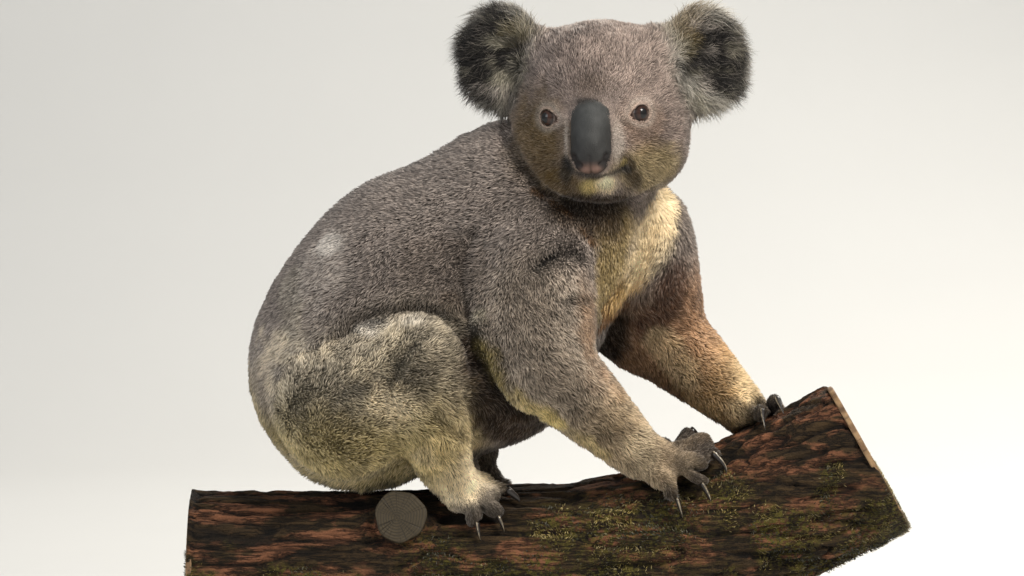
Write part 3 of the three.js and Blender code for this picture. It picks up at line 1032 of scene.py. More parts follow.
# %% Marks
#       the part it is kept to, place, size, colour, strength
MARKS = [
    # back and rump
    # painted highlight: a soft pale sheen on the upper back, with a small white spot where it is brightest
    ("trunk", spot("trunk", 0.19, 0.2, 0.62), (32, 30, 44), PALE, 0.4),
    ("trunk", spot("trunk", 0.22, 0.24, 0.67), (15, 15, 10), WHITE, 0.4),
    ("trunk", spot("trunk", 0.04, 0.26, 0.31), (40, 50, 56), PALE, 0.3),
    ("trunk", spot("trunk", 0.14, 0.1, 0.3), (40, 40, 60), PALE, 0.3),
    ("trunk", path_in("trunk", (0.13, 0.3, 0.57), (0.14, 0.2, 0.46), (0.14, 0.1, 0.36)), 14, ASH, 0.3),
    # painted shade on the belly, and on the flank between thigh and arm
    ("trunk", path_in("trunk", (0.52, 0.03, 0.53), (0.55, 0.05, 0.45)), 9, BROWN, 0.6),
    ("", path_in("trunk", (0.56, 0.03, 0.37), (0.59, 0.06, 0.31), (0.62, 0.12, 0.25), (0.7, 0.3, 0.17)),
     26, DARK_BROWN, 1.0),
    ("trunk", spot("trunk", 0.5, 0.05, 0.6), (40, 40, 34), BROWN, 0.25),
    # thigh and shank
    # painted highlight along the top of the near thigh
    ("", spot("trunk", 0.32, 0.03, 0.455), (20, 16, 9), WHITE, 0.4),
    ("thigh_right", spot("thigh_right", 0.6, 0.1, 0.97), (36, 26, 9), WHITE, 0.45),
    ("thigh_right", spot("thigh_right", 0.58, 0.2, 0.5), (24, 30, 18), CREAM, 0.4),
    ("thigh_right", spot("thigh_right", 0.62, 0.25, 0.46), (20, 30, 24), CREAM, 0.45),
    ("thigh_right", spot("thigh_right", 0.48, 0.25, 0.66), (14, 30, 12), CREAM, 0.35),
    ("shank_left", middle("shank_left"), (60, 60, 60), BROWN, 0.5),
    # near arm
    ("", path_in("trunk", (0.6, 0.05, 0.5), (0.6, 0.06, 0.44), (0.62, 0.05, 0.39)), 9, STRAW, 0.5),
    ("", path_in("trunk", (0.6, 0.05, 0.41), (0.64, 0.05, 0.35), (0.69, 0.05, 0.28), (0.76, 0.1, 0.22)),
     12, YELLOW, 0.9),
    ("forearm_right", path_in("trunk", (0.76, 0.1, 0.22), (0.88, 0.14, 0.12)), 10, YELLOW, 0.5),
    ("upper_arm_right", spot("upper_arm_right", 1.0, 0.3, 0.5), (22, 40, 60), TAN, 0.7),
    ("forearm_right", spot("forearm_right", 0.6, 0.5, 0.8), (20, 40, 20), TAN, 0.5),
    ("upper_arm_right", spot("upper_arm_right", 0.45, 0.0, 0.8), (34, 26, 16), BROWN, 0.2),
    ("forearm_right", spot("forearm_right", 0.85, 0.4, 0.25), (24, 26, 20), CREAM, 0.5),
    # chest and far arm
    ("", path_in("trunk", (0.92, 0.22, 0.71), (0.91, 0.24, 0.62), (0.88, 0.25, 0.55)), 22, CHEST, 0.9),
    ("", path_in("trunk", (0.97, 0.34, 0.7), (0.96, 0.34, 0.6)), 18, BUFF, 0.55),
    ("", path_in("trunk", (0.97, 0.4, 0.6), (0.92, 0.34, 0.52)), 17, GOLD, 1.0),
    ("", path_in("trunk", (1.02, 0.47, 0.79), (1.0, 0.42, 0.7), (0.98, 0.4, 0.64)), 24, BUFF, 1.0),
    ("", path_in("trunk", (1.05, 0.5, 0.8), (1.05, 0.48, 0.7), (1.03, 0.46, 0.62)), 11, CREAM, 0.4),
    ("", path_in("trunk", (0.95, 0.44, 0.5), (0.9, 0.34, 0.48)), 10, RUST, 0.9),
    # painted shade inside the far arm, where it lies against the chest
    ("", path_in("trunk", (0.9, 0.5, 0.46), (0.9, 0.57, 0.42), (0.885, 0.68, 0.39)), 22, DARK_BROWN, 1.0),
    # painted shade in the crease over the shoulder, along the first fold
    ("", path_in("trunk", (0.72, 0.01, 0.61), (0.75, 0.03, 0.635), (0.775, 0.05, 0.65)), 3.5, BLACK, 0.85),
    # painted shade under the jaw
    ("", path_in("trunk", (0.8, 0.1, 0.76), (0.9, 0.17, 0.75)), 15, DARK_BROWN, 0.7),
    ("", path_in("trunk", (0.72, 0.13, 0.81), (0.78, 0.12, 0.77), (0.86, 0.16, 0.68)), 4, RUST, 0.7),
    ("", path_in("trunk", (1.07, 0.51, 0.58), (1.05, 0.52, 0.5), (1.0, 0.53, 0.44)), 15, MAROON, 0.8),
    ("", path_in("upper_arm_left", (0.62, 0.3, 0.22), (0.72, 0.34, 0.14), (0.84, 0.31, 0.04)),
     13, BUFF, 0.6),
    ("upper_arm_left", path_in("upper_arm_left", (0.86, 0.22, 0.71), (0.92, 0.31, 0.54), (1.0, 0.55, 0.35)),
     5, PALE, 0.9),
    # painted highlight on the lit front edge of the far forearm
    ("", spot("forearm_left", 0.84, 0.2, 0.4), (18, 50, 44), BUFF, 0.75),
    ("forearm_left", spot("forearm_left", 0.2, 0.1, 0.3), (22, 24, 16), OLIVE, 0.4),
    ("hand_left", spot("hand_left", 0.9, 0.2, 0.9), (24, 40, 20), DARK_BROWN, 0.8),
    # paws
    ("", spot("trunk", 0.53, 0.13, 0.06), (24, 32, 22), CREAM, 0.95),
    ("hand_right", spot("hand_right", 0.1, 0.3, 0.6), (24, 26, 22), CREAM, 0.75),
    ("hand_right", spot("hand_right", 0.8, 0.3, 0.85), (22, 30, 14), DARK_BROWN, 0.9),
    # head
    ("head", at_face(-4, 24, 24), (20, 20, 12), BROWN, 0.35),
    ("head", at_face(-3, 24, 11), (13, 22, 4), BLACK, 0.85),
    # cheeks: the olive brown on the right is partly their colour and partly painted shade, and the yellow
    # on the left is partly painted light
    ("head", at_face(-46, -20, -26), (32, 50, 50), OLIVE_BROWN, 0.92),
    ("head", at_face(46, 0, -48), (32, 40, 24), YELLOW, 0.5),
    ("head", at_face(40, 10, -10), (20, 30, 24), TAN, 0.3),
    ("head", at_face(-28, 0, -58), (24, 40, 18), OLIVE_BROWN, 0.9),
    ("head", at_face(-24, 10, -44), (5, 22, 14), BLACK, 0.85),
    ("head", at_face(-22, 20, -14), (2.0, 16, 20), PALE, 0.8),
    ("head", at_face(20, 20, -20), (6, 16, 18), PALE, 0.7),
    ("head", face_path((22, 8, -34), (27, 8, -46), (32, 0, -60)), 6, DARK_BROWN, 0.85),
    ("head", face_path((11, 10, -44), (22, 10, -37)), 3.2, YELLOW, 0.9),
    ("head", face_path((14, 10, -49), (26, 8, -44)), 3, BLACK, 0.85),
    # painted shadow under the chin
    ("", at_face(3, 0, -75), (44, 34, 12), DARK_BROWN, 1.0),
    ("head", at_face(-5, 20, -59), (13, 18, 9.5), YELLOW, 1.0),
    ("head", at_face(10, 20, -59), (12, 18, 10.5), CREAM, 1.0),
    # painted shade on the throat
    ("", at_face(0, -20, -92), (30, 40, 16), BROWN, 0.6),
]
TOE_BROWN = shade(60, 48, 37)
EYE_RING = 5.0  # how far the pale hair round each eye reaches


def eye_marks(points, colour):
    """Pale hair round the lids, a pink inner corner and a brown lid edge."""
    for side in SIDES:
        near = np.flatnonzero(np.linalg.norm(points - EYES[side], axis=1) < 24 * MM)
        inward, up, _ = in_eye(points[near], side).T
        outside = past_opening(inward, up)
        pale = 0.5 * hill(outside - 4, EYE_RING / 2)
        pink = 0.8 * hill(np.hypot(inward - EYE_WIDE - 1, up + 2), 3.0)
        lid = 0.8 * hill(outside - 1.6, 1.0) * (1 - pink)
        dark = 0.8 * hill(outside, 0.5) * (1 - pink)
        nearby = colour[near]
        for share, tint in ((pale, PALE), (lid, LID_PINK), (dark, BLACK), (pink, PINK)):
            blend(nearby, share, tint)
        colour[near] = nearby


# Painted shade deep in the folds and between the toes, and browner toe ends.
def fold_shade_and_toe_marks(points, colour):
    colour *= 1 - 0.93 * fold_share(points, 1.4)[:, None]
    blend(colour, 0.85 * toe_tips(points), TOE_BROWN)
    colour *= 1 - 0.85 * toe_gaps(points, 3.2)[:, None]


def mouth_marks(points, colour):
    near = np.flatnonzero(np.linalg.norm(points - CHIN, axis=1) < 50 * MM)
    share = 0.9 * hill(flat_distance(points[near], MOUTH), 2.2)[:, None]
    colour[near] += share * (BLACK - colour[near])


def hind_share(points, belong):
    """1 low on the hindquarters, fading forwards and upwards."""
    hind = belong[:, [bone.startswith(("thigh", "shank", "trunk")) for bone in BONES]].sum(axis=1)
    hind *= smoothstep(0.42, 0.3, (points[:, 0] - CAD_BOX[0][0]) / (CAD_BOX[1][0] - CAD_BOX[0][0]))
    return hind * smoothstep(0.39, 0.33, points[:, 2])


def coat_colour(points):
    belong = belonging(points)
    colour = belong @ np.array([BASE_COLOURS[bone] for bone in BONES])
    ragged = 0.35 * rough_noise(points, 12 * MM, 3)
    for part, place, size, tint, strength in MARKS:
        mine = np.array([bone.startswith(part) for bone in BONES])
        far = ragged + (
            np.linalg.norm((points - place) / (np.array(size) * MM), axis=1)
            if place.ndim == 1
            else distance_to_path(points, place) / (size * MM)
        )
        share = strength * (1 - smoothstep(0.6, 1.3, far)) * belong[:, mine].sum(axis=1)
        blend(colour, share, tint)
    hind = hind_share(points, belong)
    low = smoothstep(0.315, 0.25, points[:, 2] + 0.02 * noise(points, 40 * MM, 10))
    blend(colour, 0.7 * hind * low, YELLOW)
    cloud = rough_noise(points, 30 * MM, 9)
    blend(colour, 0.35 * hind * smoothstep(0.1, 0.5, cloud), CREAM)
    mottled = 1 + 0.26 * rough_noise(points, 16 * MM, 8) - 0.3 * hind * smoothstep(0.1, 0.5, -cloud)
    colour = np.clip(colour * mottled[:, None], 0.004, 0.9)
    ear_marks(points, colour)
    fold_shade_and_toe_marks(points, colour)
    mouth_marks(points, colour)
    eye_marks(points, colour)
    return colour


# %% Ears' colours
#       place in the ear's box, size in millimetres, colour, strength
EAR_MARKS = {
    "ear_right": [
        ((0.95, 0.3, 0.86), (12, 30, 16), PALE, 0.9),
        ((0.75, 0.1, 0.62), (16, 20, 10), OLIVE, 0.35),
        ((0.6, 0.1, 0.6), (10, 20, 5), ASH, 0.7),
        ((0.7, 0.1, 0.34), (20, 24, 8), ASH, 0.75),
        ((0.5, 0.1, 0.26), (18, 20, 5), PALE, 0.7),
        ((0.34, 0.1, 0.2), (12, 20, 7), BLACK, 0.9),
        ((0.5, 0.1, 0.1), (12, 20, 6), BLACK, 0.8),
    ],
    "ear_left": [
        ((0.2, 0.1, 0.62), (15, 20, 14), OLIVE, 0.3),
        ((0.22, 0.1, 0.78), (14, 30, 18), OLIVE_BROWN, 0.6),
        ((0.42, 0.1, 0.72), (12, 20, 4), PALE, 0.6),
        ((0.46, 0.1, 0.54), (8, 20, 5), PALE, 0.6),
        ((0.4, 0.1, 0.3), (6, 20, 8), PALE, 0.7),
        ((0.3, 0.1, 0.16), (12, 20, 9), ASH, 0.5),
        ((0.66, 0.1, 0.16), (10, 20, 15), BLACK, 0.8),
        ((0.92, 0.1, 0.16), (7, 20, 16), WHITE, 0.7),
        ((0.97, 0.2, 0.62), (11, 40, 28), PALE, 0.9),
        ((0.95, 0.2, 0.3), (8, 40, 14), ASH, 0.8),
        ((0.66, 0.2, 0.97), (32, 40, 9), PALE, 0.9),
    ],
}
EAR_DARK = shade(32, 28, 25)
EAR_RIM = shade(194, 188, 176)
#          where its pale rim starts and is full, as shares of the half height, and how pale it is
EAR_RIMS = {"left": (0.46, 0.7, 0.95), "right": (0.58, 0.72, 0.7)}


def ear_place(points, side):
    """Points as shares of the ear's half width, half depth and half height from its middle."""
    low, high = corners("ear_" + side)
    return (points - middle("ear_" + side)) / ((high - low) / 2)


def ear_marks(points, colour):
    for side in SIDES:
        share = belonging(points)[:, list(BONES).index("ear_" + side)]
        place = ear_place(points, side)
        low, high, pale = EAR_RIMS[side]
        rim = smoothstep(low, high, np.hypot(place[:, 0], place[:, 2]) + 0.1 * noise(points, 9 * MM, 6))
        front = 1 - smoothstep(-0.3, 0.5, place[:, 1])
        tint = EAR_DARK + (rim * pale)[:, None] * (EAR_RIM - EAR_DARK)
        tint = tint + (1 - front[:, None]) * 0.5 * (PALE - tint)
        blend(colour, share, tint)
        for at, size, mark, strength in EAR_MARKS["ear_" + side]:
            far = np.linalg.norm((points - spot("ear_" + side, *at)) / (np.array(size) * MM), axis=1)
            ragged = far + 0.3 * rough_noise(points, 8 * MM, 4)
            blend(colour, strength * share * (1 - smoothstep(0.6, 1.3, ragged)), mark)
        lock = noise(points, 6.5 * MM, 7)
        blend(colour, 0.4 * share * smoothstep(0.15, 0.6, lock), ASH)
        blend(colour, 0.65 * (1 - 0.7 * rim) * share * smoothstep(0.1, 0.5, -lock), EAR_DARK)


print("marks:", len(MARKS), "on the body")

# %% [markdown]
# ## Tufts
#
# A short tuft is a closed blade of four triangles: two points at its root, under the skin, a ridge
# where it turns over, and a tip. A long one, on the ears, is a closed spindle with rings of three
# points, so that it can curve. Both leave the skin at an angle and then lie along it. The tufts of a
# part are made in one go, from arrays, and joined into as few meshes as their size allows.

# %% Unwrap
UV_PATCH = 0.003


def unwrap(piece):
    take(piece)
    edit_all()
    bpy.ops.uv.smart_project(angle_limit=math.radians(66), island_margin=0.002)
    bpy.ops.object.mode_set(mode="OBJECT")
    piece.data.uv_layers[0].name = "OFBake"


def finish_piece(piece, material, node):
    """Paints and unwraps a piece that stands for a node, and lets it ride on the model."""
    piece.data.materials.append(material)
    unwrap(piece)
    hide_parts(node)
    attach(piece, "root")


# %% Where the tufts stand
def corners_of(piece):
    """Each triangle's three vertices and the places of its corners on the unwrap."""
    mesh = piece.data
    mesh.calc_loop_triangles()
    count = len(mesh.loop_triangles)
    vertices = np.empty(count * 3, np.int32)
    loops = np.empty(count * 3, np.int32)
    mesh.loop_triangles.foreach_get("vertices", vertices)
    mesh.loop_triangles.foreach_get("loops", loops)
    uv = np.empty(len(mesh.loops) * 2, np.float32)
    mesh.uv_layers["OFBake"].uv.foreach_get("vector", uv)
    return vertices.reshape(-1, 3), uv.reshape(-1, 2)[loops.reshape(-1, 3)]


def scatter(piece, per_area, rng):
    """Random roots: each one's three vertices, its share of each, and its place on the unwrap."""
    vertices, uv = corners_of(piece)
    a, b, c = points_of(piece)[vertices].transpose(1, 0, 2)
    area = np.linalg.norm(np.cross(b - a, c - a), axis=1) / 2
    wanted = area * per_area[vertices].mean(axis=1)
    count = np.floor(wanted + rng.random(len(wanted))).astype(int)
    face = np.repeat(np.arange(len(wanted)), count)
    s, t = rng.random((2, len(face)))
    fold = s + t > 1
    s[fold], t[fold] = 1 - s[fold], 1 - t[fold]
    share = np.stack([1 - s - t, s, t], axis=1)
    return vertices[face], share, (share[:, :, None] * uv[face]).sum(axis=1)


# %% The shape of a tuft
BLADE_ALONG = np.array((0.0, 0.0, 0.42, 1.0))
BLADE_ACROSS = np.array((0.0, 1.0, 0.5, 0.5))
BLADE_FACES = np.array([(0, 3, 2), (1, 2, 3), (0, 2, 1), (0, 1, 3)])


def spindles(root, out, lie, length, width, rise, sag, curl, rings):
    """The points of closed tufts, in rows of root, rings and tip, and how far along each lies."""
    side = np.cross(out, lie)

    def middle_line(t):
        lifted = root + lie * (length * t)[:, None] + out * (rise * (2 * t - t * t))[:, None]
        return lifted + side * (curl * t * t)[:, None] - np.outer(sag * t * t, (0, 0, 1))

    if rings == 0:
        low = root - out * 0.5 * MM
        half = side * (width / 2)[:, None]
        ridge, tip = (middle_line(np.full(len(root), t)) for t in BLADE_ALONG[2:])
        return np.stack([low - half, low + half, ridge, tip], axis=1), BLADE_ALONG
    rows = [root - out * 0.8 * MM]
    along = [0.0]
    for ring in range(rings):
        t = (ring + 0.8) / (rings + 1.1)
        centre = middle_line(np.full(len(root), t))
        half = (width * (1 - 0.7 * ring / rings) / 2)[:, None]
        rows += [centre - side * half, centre + out * half * 0.8, centre + side * half]
        along += [t] * 3
    rows.append(middle_line(np.ones(len(root))))
    along.append(1.0)
    return np.stack(rows, axis=1), np.array(along)


def spindle_faces(rings):
    if rings == 0:
        return BLADE_FACES
    faces = [(0, 1 + (k + 1) % 3, 1 + k) for k in range(3)]
    for ring in range(rings - 1):
        low = 1 + 3 * ring
        for k in range(3):
            a, b = low + k, low + (k + 1) % 3
            faces += [(a, b, b + 3), (a, b + 3, a + 3)]
    low = 1 + 3 * (rings - 1)
    faces += [(low + k, low + (k + 1) % 3, low + 3) for k in range(3)]
    return np.array(faces)


# %% From arrays to pieces
def mesh_from(name, points, faces):
    """A mesh of loose triangles, filled straight from arrays."""
    mesh = bpy.data.meshes.new(name)
    mesh.vertices.add(len(points))
    mesh.vertices.foreach_set("co", points.ravel())
    mesh.loops.add(faces.size)
    mesh.loops.foreach_set("vertex_index", faces.ravel().astype(np.int32))
    mesh.polygons.add(len(faces))
    mesh.polygons.foreach_set("loop_start", np.arange(0, faces.size, 3, dtype=np.int32))
    mesh.update(calc_edges=True)
    mesh.validate()
    return add_object(name, mesh)


def give(piece, name, values):
    """Stores one value for each vertex, for the shaders to read."""
    kind, field = ("FLOAT", "value") if np.ndim(values) == 1 else ("FLOAT_VECTOR", "vector")
    attribute = piece.data.attributes.new(name, kind, "POINT")
    attribute.data.foreach_set(field, np.ascontiguousarray(values, np.float32).ravel())


def tuft_piece(name, tufts, rings, material):
    """One closed mesh of tufts. They come as a dict of arrays, with one row for each tuft."""
    form = [tufts[part] for part in ("root", "out", "lie", "length", "width", "rise", "sag", "curl")]
    points, along = spindles(*form, rings)
    count, each = points.shape[:2]
    faces = spindle_faces(rings)[None] + (np.arange(count) * each)[:, None, None]
    piece = mesh_from(name, points.reshape(-1, 3), faces.reshape(-1, 3))
    across = np.array([0.5] + [0, 0.5, 1] * rings + [0.5]) if rings else BLADE_ACROSS
    patch = np.stack([across - 0.5, along - 0.5], axis=1) * UV_PATCH
    layer = piece.data.uv_layers.new(name="OFBake", do_init=False)
    corner = (tufts["uv"][:, None] + patch[None]).reshape(-1, 2)[faces.ravel()]
    layer.uv.foreach_set("vector", corner.astype(np.float32).ravel())
    for attribute in ("coat", "out"):
        give(piece, attribute, np.repeat(tufts[attribute], each, axis=0))
    give(piece, "along", np.tile(along, count))
    give(piece, "tone", np.repeat(tufts["tone"], each))
    piece.data.materials.append(material)
    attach(piece, "root")
    return piece


# %% [markdown]
# ## The coat's finish
#
# A hair is darkest in the shade at its root and palest along its outer half. Each tuft has its own
# tone, so dark and pale hairs lie side by side. Fur scatters light softly, so the shading normal is
# mostly that of the skin below. The skin itself has the same colours, darkened as painted shade under the
# coat, with a felt grain.

# %% Fur and skin materials
def fur_material(name, root_light, sheen):
    material, tree, shader = start_material(
        name, Roughness=0.62, Sheen_Weight=sheen, Sheen_Roughness=0.4, Specular_IOR_Level=0.3
    )
    lit = maths(tree, "MULTIPLY", value_of(tree, "along"), value_of(tree, "tone"))
    strength = maths(tree, "ADD", lit, root_light)
    feed(shader, Base_Color=coat_times(tree, strength))
    flat = add_node(tree, "NewGeometry", output="Normal")
    soft = add_node(
        tree, "Mix", {0: 0.5, 4: flat, 5: vector_of(tree, "out")}, output=1, data_type="VECTOR"
    )
    feed(shader, Normal=unit_of(tree, soft))
    return material


def skin_material():
    material, tree, shader = start_material("skin under fur", Roughness=0.75, Sheen_Weight=0.1)
    place = object_place(tree)
    felt = noise_of(tree, place, 900)
    # The coat's colours, dimmed as painted shade under the coat and mottled like felt.
    strength = spread(tree, felt, 0.3, 0.7, 0.3, 0.75)
    feed(shader, Base_Color=coat_times(tree, strength), Normal=bump(tree, felt, 0.0006))
    return material


FUR = fur_material("fur", 0.22, 0.2)
EAR_FUR = fur_material("ear fur", 0.3, 0.25)
print("materials: fur, ear fur and skin")

# %% [markdown]
# ## Growing the coat
#
# The coat is grown part by part, and split where a mesh would get too large. Nothing grows inside
# the eyes' openings or behind the nose. Pale hairs are commonest where the coat itself is light.

# %% Plan the coat on the skin
#             the parts in it, and the rings in each tuft
GROUPS = {
    "coat_head": (("head",), 0),
    "coat_ears": (("ear",), 2),
    "coat_body": (("trunk", "neck"), 0),
    "coat_arms": (("upper_arm", "forearm"), 0),
    "coat_legs": (("thigh", "shank"), 0),
    "coat_paws": (("hand", "thumb", "foot"), 0),
}
MOST_TRIANGLES = 196_000  # in one piece


def bare(points):
    """1 where no hair may grow: behind the nose, inside the eyes' openings and deep in folds."""
    hidden = (across_nose(points) < 0.97).astype(float)
    for side in SIDES:
        inward, height, out = in_eye(points, side).T
        hidden = np.maximum(hidden, (past_opening(inward, height) < 1.2) & (out > -8))
    hidden = np.maximum(hidden, fold_share(points, 0.8))
    return np.maximum(hidden, 0.8 * toe_gaps(points, 1.6))


def chest_share(points):
    path = path_in("trunk", (1.0, 0.46, 0.79), (1.0, 0.42, 0.7), (0.97, 0.4, 0.57), (0.9, 0.3, 0.5))
    return hill(distance_to_path(points, path), 24 * MM)


def seat_share(points):
    """1 under the rump, where the coat is pressed out until it meets the branch."""
    path = path_in("trunk", (0.14, 0.3, 0.04), (0.36, 0.3, -0.02))
    return hill(distance_to_path(points, path), 46 * MM) * smoothstep(0.25, 0.21, points[:, 2])


def ear_length(points):
    """Longest on the rim, and longer the farther a point lies from the ear's root."""
    reach = nearest_of(points, EAR_ROOTS.values())
    rims = [np.hypot(*ear_place(points, side)[:, [0, 2]].T) for side in SIDES]
    rim = smoothstep(0.35, 0.8, np.min(rims, axis=0))
    return np.clip((0.2 + 0.22 * rim) * reach + 5 * MM, 9 * MM, 34 * MM)


def root_fluff(points):
    """1 in the angle between an ear and the crown."""
    angles = [root + 14 * MM * UP for root in EAR_ROOTS.values()]
    return hill(nearest_of(points, angles), 22 * MM)


COAT_SHARE = 0.965  # holds the whole coat to about 1.5 million triangles


def plan_coat():
    """The coat's values at every vertex of the skin."""
    points = points_of(skin)
    out = unit(averaged(normals_of(skin), edges_of(skin), 0.5, 4))
    depth, length, width, count, _ = coat_at(points)
    on_ear = share_of(points, "ear")
    on_limb = sum(share_of(points, part) for part in ("upper_arm", "forearm", "thigh", "shank"))
    fluff = root_fluff(points) * (1 - on_ear)
    length = length + on_ear * (ear_length(points) - length) + 8 * MM * fluff
    raised = 2 * MM * chest_share(points) + 7 * MM * seat_share(points)
    locks = 1 + 0.45 * on_ear * noise(points, 8 * MM, 23)
    length = length * locks * (1 - 0.65 * fold_share(points, 2.4)) + 9 * MM * chest_share(points)
    return {
        "root": points,
        "out": out,
        "lie": lie_at(points, out),
        "length": length,
        "width": width,
        "rise": depth + on_ear * 0.14 * length + 8 * MM * fluff + raised,
        "sag": on_ear * 0.2 * length,
        "curl": (0.1 + 0.2 * on_ear) * length,
        "coat": coat_colour(points),
        "count": COAT_SHARE * count * (1 - bare(points)),
        "pale": 0.3 - 0.12 * on_ear,
        "clump": 0.14 + 0.16 * on_limb + 0.06 * share_of(points, "head"),
    }


plan = plan_coat()
give(skin, "coat", plan["coat"])
skin.data.materials.append(skin_material())
unwrap(skin)


# %% Grow it
def vary(tufts, rng):
    """Makes every tuft differ from its neighbours, and gathers them into locks."""
    root, out, lie = tufts["root"], tufts["out"], tufts["lie"]
    curly = np.radians(18 + 90 * tufts["clump"])
    turn = curly * noise(root, 7 * MM, 21) + rng.normal(0, np.radians(11), len(root))
    lie = np.cos(turn)[:, None] * lie + np.sin(turn)[:, None] * np.cross(out, lie)
    tufts["lie"] = unit(lie - out * dots(lie, out))
    lock = noise(root, 5 * MM, 22)
    tufts["length"] = tufts["length"] * rng.uniform(0.7, 1.15, len(root))
    tufts["width"] = tufts["width"] * rng.uniform(0.75, 1.2, len(root))
    tufts["rise"] = tufts["rise"] * (rng.uniform(0.6, 1.1, len(root)) + 0.2 * lock)
    tufts["curl"] = tufts["curl"] * rng.normal(0, 1, len(root))
    kind = rng.random(len(root))
    bright = smoothstep(0.3, 0.65, tufts["coat"].mean(axis=1))
    pale, dark = kind < tufts["pale"] + 0.5 * bright, kind > 0.68 + 0.28 * bright
    tone = np.where(pale, 1.3, np.where(dark, 0.36, 0.84)) + tufts["clump"] * lock + 0.25 * bright
    tufts["tone"] = tone * rng.uniform(0.85, 1.15, len(root))
    tint = 0.35 * pale[:, None]
    coat = tufts["coat"]
    tufts["coat"] = coat + tint * (0.4 * (coat + PALE) + 0.2 * coat - coat)
    return tufts


def grow(piece, plan, name, rings, material, rng):
    vertices, share, uv = scatter(piece, plan["count"], rng)
    tufts = {"uv": uv}
    for part, values in plan.items():
        weights = share.reshape(share.shape + (1,) * (values.ndim - 1))
        tufts[part] = (weights * values[vertices]).sum(axis=1)
    tufts["out"] = unit(tufts["out"])
    tufts = vary(tufts, rng)
    most = MOST_TRIANGLES // len(spindle_faces(rings))
    order = np.argsort(tufts["root"][:, 0], kind="stable")
    for k in range(0, len(order), most):
        some = {part: values[order[k : k + most]] for part, values in tufts.items()}
        made = tuft_piece(f"{name}_{k // most + 1}", some, rings, material)
        print(made.name, len(made.data.polygons))


rng = np.random.default_rng(11)
owner = belonging(plan["root"]).argmax(axis=1)
for name, (members, rings) in GROUPS.items():
    mine = [i for i, bone in enumerate(BONES) if part_of(bone) in members]
    part_plan = plan | {"count": plan["count"] * np.isin(owner, mine)}
    material, slot = (EAR_FUR, "ear_fur") if name == "coat_ears" else (FUR, "fur")
    grow(skin, part_plan, name, rings, material, rng)
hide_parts(*FLESH)
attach(skin, "root")

# %% [markdown]
# ## Eyes
#
# A koala's eye is a wet dark-brown ball with an upright slit pupil. It could be a painted texture,
# but a finely divided sphere that stores where each point lies round its gaze gives a crisp iris at
# any size. The cornea bulges a little, and a clear coat over all of it catches the lamps.

# %% Eye material
def eye_material():
    material, tree, shader = start_material(
        "eye", Roughness=0.4, Specular_IOR_Level=0.2, Coat_Weight=0.6, Coat_Roughness=0.02
    )
    look = vector_of(tree, "look")
    flat = scaled(tree, look, 1, 1, 0)
    off = length_of(tree, flat)
    upright = scaled(tree, look, 1 / 0.34, 1 / 0.5, 0)
    in_pupil = length_of(tree, upright)
    fibres = noise_of(tree, unit_of(tree, flat), 9.0, 4.0)
    iris = mix_colours(tree, fibres, rgba(shade(30, 16, 11)), rgba(shade(64, 36, 24)))
    edge = spread(tree, off, 0.55, 0.74, 1.0, 0.35)
    iris = mix_colours(tree, 1.0, iris, edge, "MULTIPLY")
    white = spread(tree, off, 0.77, 0.84)
    ball = mix_colours(tree, white, iris, rgba(shade(96, 82, 76)))
    pupil = spread(tree, in_pupil, 0.92, 1.08, 1.0, 0.0)
    tint = mix_colours(tree, pupil, ball, rgba(shade(8, 6, 6)))
    feed(shader, Base_Color=tint)
    return material


EYE_FINISH = eye_material()


# %% Eyes
def add_eye(side):
    bpy.ops.mesh.primitive_uv_sphere_add(segments=64, ring_count=48, radius=1)
    eye = bpy.context.object
    eye.name = "eyeball_" + side
    look = points_of(eye)
    _, up, gaze = eye_axes(side)
    across = np.cross(up, gaze)
    cornea = 0.07 * smoothstep(0.70, 0.98, look[:, 2])
    local = look * (1 + cornea[:, None]) * EYE_RADIUS * MM
    move_to(eye, EYES[side] + local @ np.stack([across, up, gaze]))
    give(eye, "look", look)
    eye.data.shade_smooth()
    finish_piece(eye, EYE_FINISH, "eye_" + side)


for side in SIDES:
    add_eye(side)
print("eyes: two")

# %% [markdown]
# ## Nose
#
# The nose is a bare pad of slate-grey leather, tall and slightly waisted, with a fine pebbled grain,
# a soft sheen and paler clouds painted on as highlights. The nostrils are two commas near the bottom,
# dark with painted shade, and between them the leather is a pinkish brown. It is melted from its own
# solid at a finer size, smoothed, then pressed in.

# %% Shape the nose
NOSE_MIDDLE = -3.2  # millimetres left of the middle of the face
NOSTRIL_CURVE = ((8.5, -41), (12.5, -38.5), (14.5, -33))  # across from its middle, and up
NOSTRILS = {
    side: face_path(*[(NOSE_MIDDLE + turn * across, 0, up) for across, up in NOSTRIL_CURVE])
    for side, turn in SIDES.items()
}
PHILTRUM = face_path((NOSE_MIDDLE, 0, -33), (NOSE_MIDDLE, 0, -54))
PINK_BAND = face_path((NOSE_MIDDLE - 5, 0, -44), (NOSE_MIDDLE + 5, 0, -44))


def straighten_nose(points):
    """Lowers the top of the pad a little and widens it there."""
    left, _, up = on_face(points).T
    above = np.maximum(up + 10, 0)
    aside = (left - NOSE_MIDDLE) * smoothstep(-6, 10, up)
    return points - np.outer(0.02 * above * MM, UP) + np.outer(0.04 * aside * MM, LEFT)


